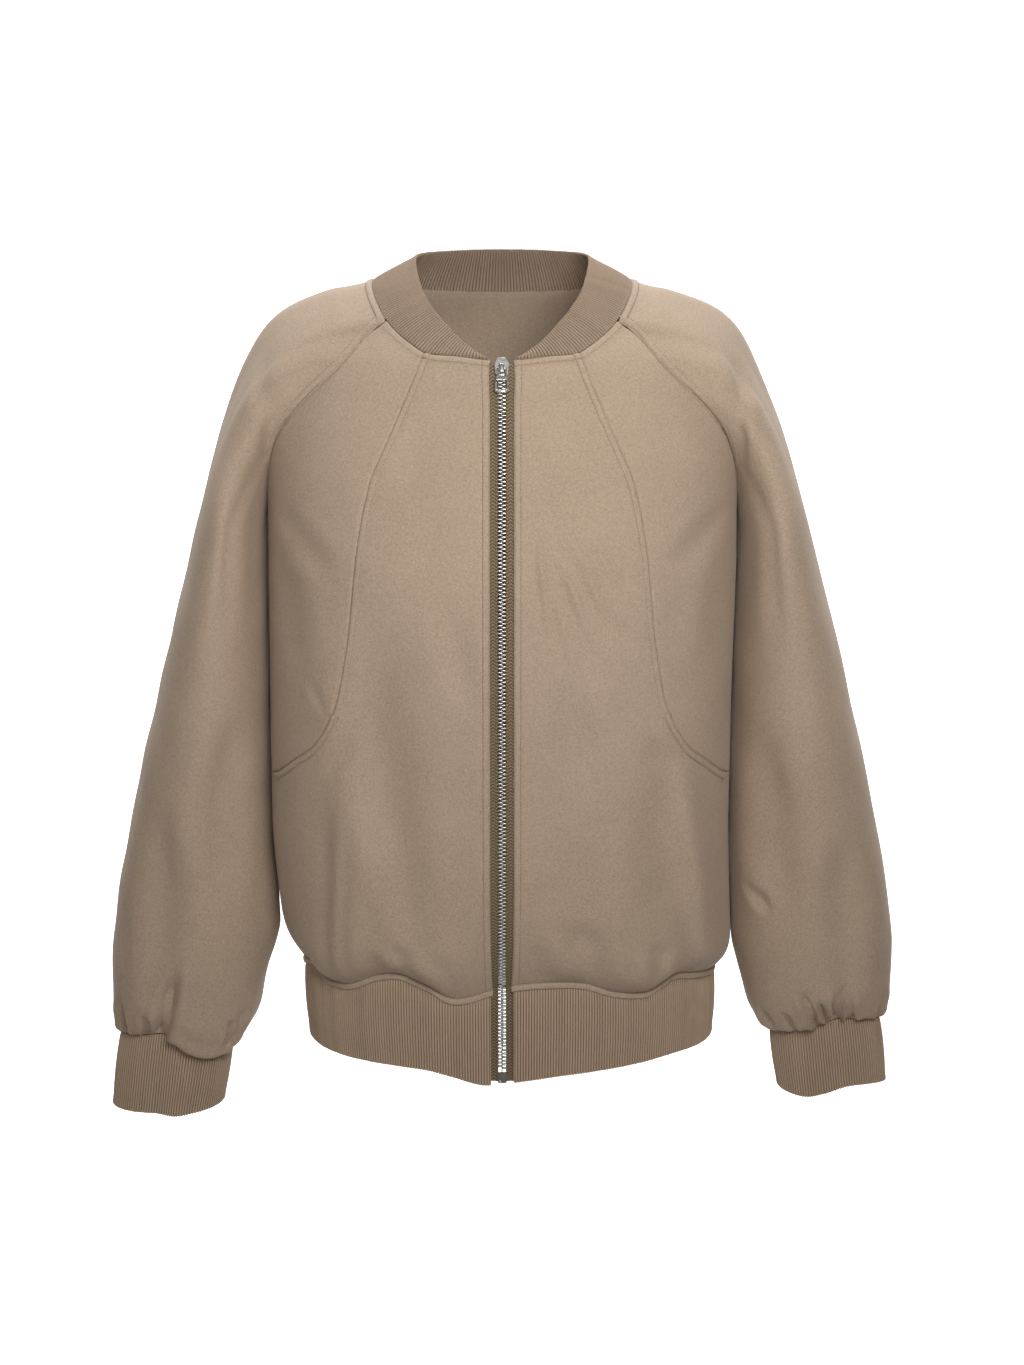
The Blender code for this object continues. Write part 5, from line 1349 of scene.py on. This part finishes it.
def band(name, loops, wrapped, rise):
    """A mesh from closed loops of points, one line of points per place on the loop."""
    count, columns = loops.shape[:2]
    ids = np.arange(count * columns).reshape(count, columns)
    around = closed(ids, 0)
    faces = grid_faces(closed(around, 1) if wrapped else around, False)
    if not wrapped:
        for column, flipped in ((0, False), (columns - 1, True)):
            for i in range(count // 2 - 1):
                quad = ids[[i, i + 1, count - 2 - i, count - 1 - i], column].tolist()
                faces.append(quad if flipped else quad[::-1])
    points = loops.reshape(-1, 3)
    faces = facing_out(points, faces)
    # the ridge height, which the rib materials turn into painted shade in the valleys
    ridge = np.clip((rise + RIB_VALLEY) / (RIB_RISE + RIB_VALLEY), 0, 1)
    ridge = np.broadcast_to(ridge, (count, columns)).reshape(-1)
    # the band and cuffs take the rib knit painted paler, as painted light against the shade on them
    knit = MATERIALS["rib" if name == "collar" else "painted_lighter_rib"]
    obj = mesh_object(f"{name}_rib", points, faces, knit, ridge=ridge)
    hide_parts(name)
    return obj


def both_halves(points):
    return np.concatenate([points * (-1, 1, 1), points[::-1][1:]])


def collar():
    shares = np.linspace(0.004, 1, COLLAR_RIBS // 2 * RIB_POINTS + 1)
    base, seam_normal = neck_curve(shares)
    top = along(COLLAR_EDGE, shares)
    tangent = unit(np.gradient(base, axis=0))
    rising = unit(top - base)
    normal = unit(np.cross(tangent, rising))
    normal = normal * np.sign(normal[:, 2].sum())
    climb = unit(np.cross(tangent, seam_normal))
    climb = climb * np.sign((climb * rising).sum())
    base = base + climb * VISUAL_GAP
    top, base, normal, seam_normal = (both_halves(line) for line in (top, base, normal, seam_normal))
    rise = rib_rise(len(top), 41)
    loops = band_loops(top, base, (normal, seam_normal), rise, 1.2, True, 12)
    return band("collar", loops, False, rise)


def band_normals(top, bottom):
    normals = []
    for points in (top, bottom):
        tangent = np.gradient(points, axis=0)
        normals.append(unit(np.cross(tangent, (0, 0, 1.0))))
    return [n * np.sign((n * points * (1, 1, 0)).sum()) for n, points in zip(normals, (top, bottom))]


def hem_band():
    half_width, power = BAND["half_width"][0], BAND["front_power"][0]
    start = math.asin((OPENING_HALF / half_width) ** (power / 2)) * 2 / math.pi
    fine = np.linspace(start, 4 - start, 4001)
    length = line_lengths(section(BAND, fine, np.full(len(fine), BAND_MIDDLE_Z)))
    count = int(round(length[-1] / RIB_PITCH)) * RIB_POINTS
    turns = np.interp(np.linspace(0, length[-1], count + 1), length, fine)
    turned = np.where(turns > 2, turns - 4, turns)
    top = section(BAND, turned, hem_seam(turned) - VISUAL_GAP)
    bottom = section(BAND, turned, band_edge(turned))
    rise = rib_rise(len(top), 42)
    loops = band_loops(top, bottom, band_normals(top, bottom), rise, 1.3, False, 14)
    return band("hem_band", loops, False, rise)


def cuff(side):
    half, depth, sign = CUFFS[side]["half"], CUFFS[side]["depth"], SIDES[side]
    round_length = math.pi * (3 * (half + depth) - math.sqrt((3 * half + depth) * (half + 3 * depth)))
    count = int(round(round_length / RIB_PITCH)) * RIB_POINTS
    fine = np.linspace(0, 1, 2001)
    length = line_lengths(cuff_ring(side, fine, 0.5))
    turn = np.interp(np.arange(count) / count * length[-1], length, fine)
    top, bottom = cuff_ring(side, turn, 0.0), cuff_ring(side, turn, 1.0)
    top[:, 2] -= VISUAL_GAP
    angle = turn * 2 * math.pi
    normal = unit(np.stack([-np.cos(angle) / half, -np.sin(angle) / depth, angle * 0], axis=-1))
    mirror = np.array([sign, 1, 1])
    lines = (top * mirror, bottom * mirror, (normal * mirror, normal * mirror))
    rise = rib_rise(count, 43 + sign)
    loops = band_loops(*lines, rise, 1.0, False, 14)
    return band(f"cuff_{side}", loops, True, rise)


# Zip


def front_line(x, z):
    """The depth of the cloth's outer surface at a place on the front."""
    z = np.asarray(z, float)
    return torso(turn_at(np.full(z.shape, x), z), z)[..., 1]


def zip_tape(side, sign):
    """A woven tape with a corded edge that carries the teeth, and a herringbone of slanted threads."""
    z = np.arange(ZIP_TOP_Z, ZIP_END_Z - TAPE["past_end"], -0.46)
    width = TAPE["outer"] - TAPE["inner"] + 0.6
    away = np.concatenate([np.linspace(0, 2.0, 6), np.linspace(2.45, 7.2, 12), [8.4, width]])
    swell = 0.8 * np.sin(np.clip(away / 2.2, 0, 1) * math.pi) ** 0.8
    fold = np.abs((away - 1.4) % 5.2 - 2.6)
    phase = (z[None, :] + fold[:, None] * 0.85) / TAPE_WEAVE
    thread = 0.5 + 0.5 * np.cos(phase * 2 * math.pi)
    outer, inner = [], []
    for k, off in enumerate(away):
        x = np.full(len(z), sign * (TAPE["inner"] - 0.6 + off))
        share = min(off / 6, 1)
        y = front_line(sign * OPENING_HALF, z) * share + front_line(0.0, z) * (1 - share)
        lift = swell[k] + TAPE_THREAD * thread[k]
        outer.append(np.stack([x, y + TAPE["behind"] - lift, z], axis=-1))
        inner.append(np.stack([x, y + TAPE["behind"] + TAPE["thick"] + swell[k] * 0.5, z], axis=-1))
    outer, inner = np.stack(outer), np.stack(inner)
    keep = sparse(len(z), 8)
    name = f"zip_tape_{side}"
    obj = shell(f"{name}_weave", outer, inner[:, keep], MATERIALS["tape"], ridge=thread)
    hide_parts(name)
    return obj


def plate(name, outlines, thick, bevel, steps=2):
    """A flat plate with rounded edges from closed outlines in x and z; the second one on are holes."""
    curve = bpy.data.curves.new(f"{name}_outline", "CURVE")
    curve.dimensions = "2D"
    curve.fill_mode = "BOTH"
    curve.extrude = (thick / 2 - bevel) * MM
    curve.bevel_depth = bevel * MM
    curve.bevel_resolution = steps
    curve.offset = -bevel * MM
    for outline in outlines:
        spline = curve.splines.new("POLY")
        spline.points.add(len(outline) - 1)
        for point, (x, z) in zip(spline.points, outline):
            point.co = (x * MM, z * MM, 0, 1)
        spline.use_cyclic_u = True
    temporary = linked(f"{name}_outline", curve)
    evaluated = temporary.evaluated_get(bpy.context.evaluated_depsgraph_get())
    mesh = bpy.data.meshes.new_from_object(evaluated)
    bpy.data.objects.remove(temporary)
    points = np.array([vertex.co[:] for vertex in mesh.vertices])
    faces = [tuple(face.vertices) for face in mesh.polygons]
    bpy.data.meshes.remove(mesh)
    return np.stack([points[:, 0], -points[:, 2], points[:, 1]], axis=-1) / MM, faces


def rounded(corners, radius, steps=5):
    """An outline with its corners rounded; radius may be one per corner."""
    radii = radius if hasattr(radius, "__len__") else [radius] * len(corners)
    outline = []
    for k, corner in enumerate(corners):
        corner = np.array(corner, float)
        before = np.array(corners[k - 1], float) - corner
        after = np.array(corners[(k + 1) % len(corners)], float) - corner
        cut = min(radii[k], np.linalg.norm(before) / 2.02, np.linalg.norm(after) / 2.02)
        start = corner + before / np.linalg.norm(before) * cut
        end = corner + after / np.linalg.norm(after) * cut
        for t in np.linspace(0, 1, steps):
            outline.append(start * (1 - t) ** 2 + corner * 2 * t * (1 - t) + end * t**2)
    return outline


def joined(parts):
    """Several pieces' points and faces as one."""
    points, faces, base = [], [], 0
    for some_points, some_faces in parts:
        points.append(some_points)
        faces += [tuple(index + base for index in face) for face in some_faces]
        base += len(some_points)
    return np.concatenate(points), faces


def leaned(points, angle):
    """Points turned about the axis across the front."""
    cosine, sine = math.cos(angle), math.sin(angle)
    y = points[:, 1] * cosine - points[:, 2] * sine
    z = points[:, 1] * sine + points[:, 2] * cosine
    return np.stack([points[:, 0], y, z], axis=-1)


def slider_place(parts, move=(0, 0, 0)):
    """Parts from the slider's own frame, which leans as the front does there, in the shared frame."""
    return [(leaned(points + move, SLIDER_LEAN) + SLIDER_AT, faces) for points, faces in parts]


def metal_piece(name, replaced, parts, finish="metal", body="jacket"):
    """Closed parts as one metal object in place of one of the part's nodes."""
    points, faces = joined(parts)
    obj = mesh_object(name, points, faces, MATERIALS[finish], body=body)
    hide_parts(replaced)


def prism(outline, half, chamfer):
    """A prism across the zip with chamfered ends: an outline in depth and height."""
    outline = np.array(outline, float)
    centre = outline.mean(axis=0)
    shrink = 1 - chamfer / np.linalg.norm(outline - centre, axis=1).mean()
    rings = ((-half, shrink), (-half + chamfer, 1.0), (half - chamfer, 1.0), (half, shrink))
    points = [(x, *(centre + (corner - centre) * size)) for x, size in rings for corner in outline]
    ids = np.arange(len(points)).reshape(len(rings), len(outline))
    faces = grid_faces(closed(ids, 1), False) + [ids[0].tolist(), ids[-1][::-1].tolist()]
    return np.array(points), facing_out(np.array(points), faces)


def tooth_shape():
    """One tooth of the right tape: a clamped body with a narrower head that reaches over the middle."""
    front, back = CHAIN["front"], CHAIN["back"]
    outline = [(3.35, 0.62), (1.5, 0.8), (0.55, 0.62), (-0.6, 0.5), (-0.95, 0.0), (-0.6, -0.5),
               (0.55, -0.62), (1.5, -0.8), (3.35, -0.62)]
    rings = ((front + 0.45, 0.62), (front, 1.0), (front + 0.5, 1.12), (back - 0.4, 1.1), (back, 0.8))
    points, middle = [], np.array([1.3, 0.0])
    for k, (depth, size) in enumerate(rings):
        for x, z in outline:
            place = middle + (np.array([x, z]) - middle) * (min(size, 1.06), size)
            if k == 0:
                depth_here = front - 0.12
                place = middle + (np.array([x, z]) - middle) * (0.78, 0.55)
            else:
                depth_here = depth + (0.12 if k == 1 else 0)
            points.append((place[0], depth_here, place[1]))
    return np.array(points), ring_faces(len(rings), len(outline), 0)


def zip_chain():
    """Two rows of teeth that mesh, following the front, and part a little beside the pin."""
    shape, faces = tooth_shape()
    fine = np.arange(ZIP_TOP_Z - 1, ZIP_END_Z - 1, -0.5)
    line = np.stack([fine * 0, front_line(0.0, fine), fine], axis=-1)
    length = line_lengths(line)
    parts = []
    count = int((length[-1] - 2.5) / (TOOTH_PITCH / 2))
    for k in range(count):
        at = 1.2 + k * TOOTH_PITCH / 2
        y, z = (np.interp(at, length, line[:, axis]) for axis in (1, 2))
        next_y, next_z = (np.interp(at + 1, length, line[:, axis]) for axis in (1, 2))
        sign = 1 if k % 2 else -1
        apart = PIN_GAP * ease((at - (length[-1] - PIN_LENGTH)) / 6)
        points = leaned(shape * (sign, 1, 1) + (sign * apart, 0, 0), math.atan2(next_y - y, z - next_z))
        order = [face[::-1] for face in faces] if sign < 0 else faces
        parts.append((points + (0, y, z), order))
    metal_piece("zip_teeth", "zip_chain", parts)


def slider():
    """Two waisted plates with side guides, joined above the chain, and the bridge of the pull."""
    face, thick = SLIDER["face"], SLIDER["plate"]
    top, low = SLIDER["top"], SLIDER["top"] - SLIDER["length"]
    half, back = SLIDER["half"], CHAIN["back"] + 0.35
    outline = rounded(
        [(-2.9, top), (2.9, top), (half, top - 5.2), (half - 0.3, top - 8.5), (half - 1.4, low),
         (-half + 1.4, low), (-half + 0.3, top - 8.5), (-half, top - 5.2)],
        (1.2, 1.2, 1.8, 2.0, 1.4, 1.4, 2.0, 1.8),
    )
    parts = []
    for depth, plate_thick in ((face + thick / 2, thick), (back + 0.5, 1.0)):
        points, faces = plate("slider", [outline], plate_thick, 0.35)
        parts.append((points + (0, depth, 0), faces))
    post = [(face + thick - 0.2, top - 0.5), (back + 0.3, top - 0.5), (back + 0.3, top - 3.2),
            (face + thick - 0.2, top - 3.2)]
    parts.append(prism(post, 1.5, 0.3))
    for sign in (-1, 1):
        guide = [(face + 0.5, top - 4.6), (face + 2.2, top - 4.9), (face + 2.2, low + 1.0),
                 (face + 0.5, low + 0.7)]
        points, faces = prism(guide, 0.5, 0.2)
        lean = (points[:, 2] - (top - 5.2)) / (low - top + 5.2)
        points[:, 0] += sign * (half - 0.62 - 1.1 * np.clip(lean, 0, 1))
        parts.append((points, faces))
    rise, root = face - BRIDGE["rise"], face + 0.3
    high, bottom, leg = BRIDGE["top"], BRIDGE["bottom"], BRIDGE["leg"]
    under = rise + BRIDGE["thick"]
    outer = rounded([(root, high), (rise, high - 0.3), (rise, bottom + 0.3), (root, bottom)],
                    (0.01, 2.2, 2.2, 0.01), 7)
    inner = rounded([(root, bottom + leg), (under, bottom + leg), (under, high - leg), (root, high - leg)],
                    (0.01, 1.3, 1.3, 0.01), 7)
    parts.append(bridge_arch(outer, inner[::-1], BRIDGE["half"]))
    metal_piece("slider_metal", "zip_slider", slider_place(parts))


def bridge_arch(outer, inner, half):
    """An arch across the zip between two matching lines of depth and height, with soft edges."""
    count = len(outer)
    outer, inner = np.array(outer), np.array(inner)
    inset = 0.3
    middle = (outer + inner) / 2
    inset_lines = []
    for line in (outer, inner):
        inward = (middle - line) / np.maximum(np.linalg.norm(middle - line, axis=1, keepdims=True), 1e-6)
        inset_lines.append(line + inward * inset)
    over, under = inset_lines
    sections = ((outer, -half + inset), (outer, half - inset), (over, half), (under, half),
                (inner, half - inset), (inner, -half + inset), (under, -half), (over, -half))
    points = np.array([(x, *line[k]) for line, x in sections for k in range(count)])
    ids = np.arange(len(sections) * count).reshape(len(sections), count)
    faces = grid_faces(closed(ids, 0), False) + [ids[:, 0].tolist(), ids[::-1, -1].tolist()]
    return points, facing_out(points, faces)


def pull_tab():
    """The pull: an eye round the bridge, a solid plate, and a slot above a thicker rounded bar."""
    p = PULL
    outline = rounded(
        [(-p["neck_half"], p["bar"]), (p["neck_half"], p["bar"]), (p["neck_half"], p["eye_end"] - 0.4),
         (p["half"], p["eye_end"] - 2.2), (p["half"], p["end"]), (-p["half"], p["end"]),
         (-p["half"], p["eye_end"] - 2.2), (-p["neck_half"], p["eye_end"] - 0.4)],
        (1.3, 1.3, 1.0, 1.0, 2.4, 2.4, 1.0, 1.0),
    )
    eye = rounded([(-p["eye_half"], -p["bar"]), (p["eye_half"], -p["bar"]),
                   (p["eye_half"], p["eye_end"]), (-p["eye_half"], p["eye_end"])], 0.9)
    slot = rounded([(-p["slot_half"], p["slot_top"]), (p["slot_half"], p["slot_top"]),
                    (p["slot_half"], p["slot_end"]), (-p["slot_half"], p["slot_end"])], 0.9)
    parts = [plate("pull", [outline, eye, slot], p["thick"], 0.35, 3)]
    for x_half, z, radius in ((p["half"] - 0.5, (p["slot_end"] + p["end"]) / 2 - 0.1, 1.15),
                              (p["neck_half"] - 0.3, 0.0, 0.78)):
        angle = np.linspace(0, 2 * math.pi, 17)[:-1]
        ring = np.stack([np.cos(angle) * radius, z + np.sin(angle) * radius], axis=-1)
        parts.append(prism(ring, x_half, 0.35))
    axis_out = SLIDER["face"] - (BRIDGE["rise"] - BRIDGE["thick"]) / 2
    axis_down = (BRIDGE["top"] + BRIDGE["bottom"]) / 2
    parts = slider_place(parts, (0, axis_out, axis_down))
    metal_piece("pull_metal", "zip_pull", parts, "polished", "pull")


def zip_box():
    """The box and pin at the zip's lower end."""
    y = float(front_line(0.0, BOX["top"]))
    half, front, back = BOX["half"], BOX["front"], BOX["back"]
    top, low = BOX["top"], BOX["bottom"]
    outline = rounded([(-half, top), (half, top), (half, low), (-half, low)], 0.9)
    window = rounded([(-half + 1.3, top - 3.2), (-0.4, top - 3.2), (-0.4, low + 1.6),
                      (-half + 1.3, low + 1.6)], 0.5)
    parts = []
    points, faces = plate("box", [outline, window], 1.2, 0.3)
    parts.append((points + (0, y + front + 0.6, 0), faces))
    points, faces = plate("box", [outline], back - front - 1.1, 0.3)
    parts.append((points + (0, y + (front + back + 1.1) / 2, 0), faces))
    top_bar = [(y + front - 0.15, top + 0.2), (y + front + 2.4, top + 0.2),
               (y + front + 2.4, top - 1.5), (y + front - 0.15, top - 1.5)]
    parts.append(prism(top_bar, half - 0.2, 0.3))
    z = np.linspace(ZIP_END_Z + PIN_LENGTH + 3, top - 1, PIN_RINGS)[:, None]
    line = front_line(0.0, z) + (CHAIN["front"] + CHAIN["back"]) / 2
    angle = np.linspace(0, 2 * math.pi, PIN_SIDES + 1)[None, :-1]
    rings = np.broadcast_arrays(PIN_RADIUS * np.cos(angle) - 0.2,
                                line + PIN_RADIUS * 1.6 * np.sin(angle) - 0.5, z)
    points = np.stack(rings, axis=-1).reshape(-1, 3)
    ids = np.arange(len(points)).reshape(PIN_RINGS, PIN_SIDES)
    faces = grid_faces(closed(ids, 1), False) + [ids[0].tolist(), ids[-1][::-1].tolist()]
    parts.append((points, facing_out(points, faces)))
    metal_piece("box_metal", "zip_box", parts)


# Stage, light and camera


def light(name, place, aim, size, power, colour, spread):
    data = bpy.data.lights.new(name, "AREA")
    data.shape = "RECTANGLE"
    data.size, data.size_y = size
    data.energy = power
    data.color = colour
    data.spread = math.radians(spread)
    obj = linked(name, data)
    obj.visible_camera = False
    obj.location = place
    obj.rotation_euler = (Vector(aim) - Vector(place)).to_track_quat("-Z", "Y").to_euler()


def studio():
    """A plain floor, a pale backdrop that curves up behind, soft light, and the photograph's camera."""
    floor_z, near, radius = FLOOR["z"], BACKDROP["near"], BACKDROP["radius"]
    profile = [(near, floor_z)]
    for step in range(1, BACKDROP["steps"] + 1):
        angle = step / BACKDROP["steps"] * math.pi / 2
        profile.append((near + radius * math.sin(angle), floor_z + radius * (1 - math.cos(angle))))
    profile.append((BACKDROP["far"], BACKDROP["top"]))
    for name, line, half, glow in (("floor", [(FLOOR["near"], floor_z), (near, floor_z)], FLOOR["half"], 0.0),
                                   ("backdrop", profile, BACKDROP["half"], BACKDROP["glow"])):
        points = [(x, y, z) for x in (-half, half) for y, z in line]
        count = len(line)
        faces = [(k, count + k, count + k + 1, k + 1) for k in range(count - 1)]
        mesh = bpy.data.meshes.new(name)
        mesh.from_pydata(points, [], faces)
        mesh.shade_smooth()
        made, _, shader = new_material(name, 0.9)
        socket(shader, "Base Color", STAGE_COLOUR)
        socket(shader, "Emission Color", (1, 1, 1, 1))
        socket(shader, "Emission Strength", glow)
        mesh.materials.append(made)
        linked(name, mesh)

    world = bpy.data.worlds.new("studio")
    world.use_nodes = True
    background = world.node_tree.nodes["Background"]
    socket(background, "Color", WORLD_COLOUR)
    socket(background, "Strength", WORLD_LIGHT)
    bpy.context.scene.world = world
    for settings in LIGHTS:
        light(*settings)
    bpy.context.scene.view_settings.view_transform = "Standard"

    camera = bpy.data.cameras.new("camera")
    camera.sensor_fit = "AUTO"
    camera.sensor_width = 24
    camera.lens = LENS
    camera.clip_end = 60
    obj = linked("camera", camera)
    obj.location = CAMERA_AT
    obj.rotation_euler = CAMERA_TURN
    bpy.context.scene.camera = obj


# Building it all

MATERIALS = dict(
    cloth=cloth_material(),
    rib=rib_material("rib_knit", RIB_COLOUR),
    # the same rib knit painted paler, as painted light for the band and cuffs
    painted_lighter_rib=rib_material("rib_knit_painted_lighter", PAINTED_LIGHTER_RIB_COLOUR),
    tape=tape_material(),
    thread=thread_material(),
    metal=metal_material("zip_metal", METAL_COLOUR, 0.34),
    polished=metal_material("pull_metal", POLISHED_COLOUR, 0.26),
)

for side, sign in SIDES.items():
    front_centre(side, sign)
    front_side(side, sign)
    sleeve(side)
    pocket_edge(side, sign)
    cuff(side)
    zip_tape(side, sign)
back()
collar()
hem_band()
zip_chain()
zip_box()
slider()
pull_tab()

studio()
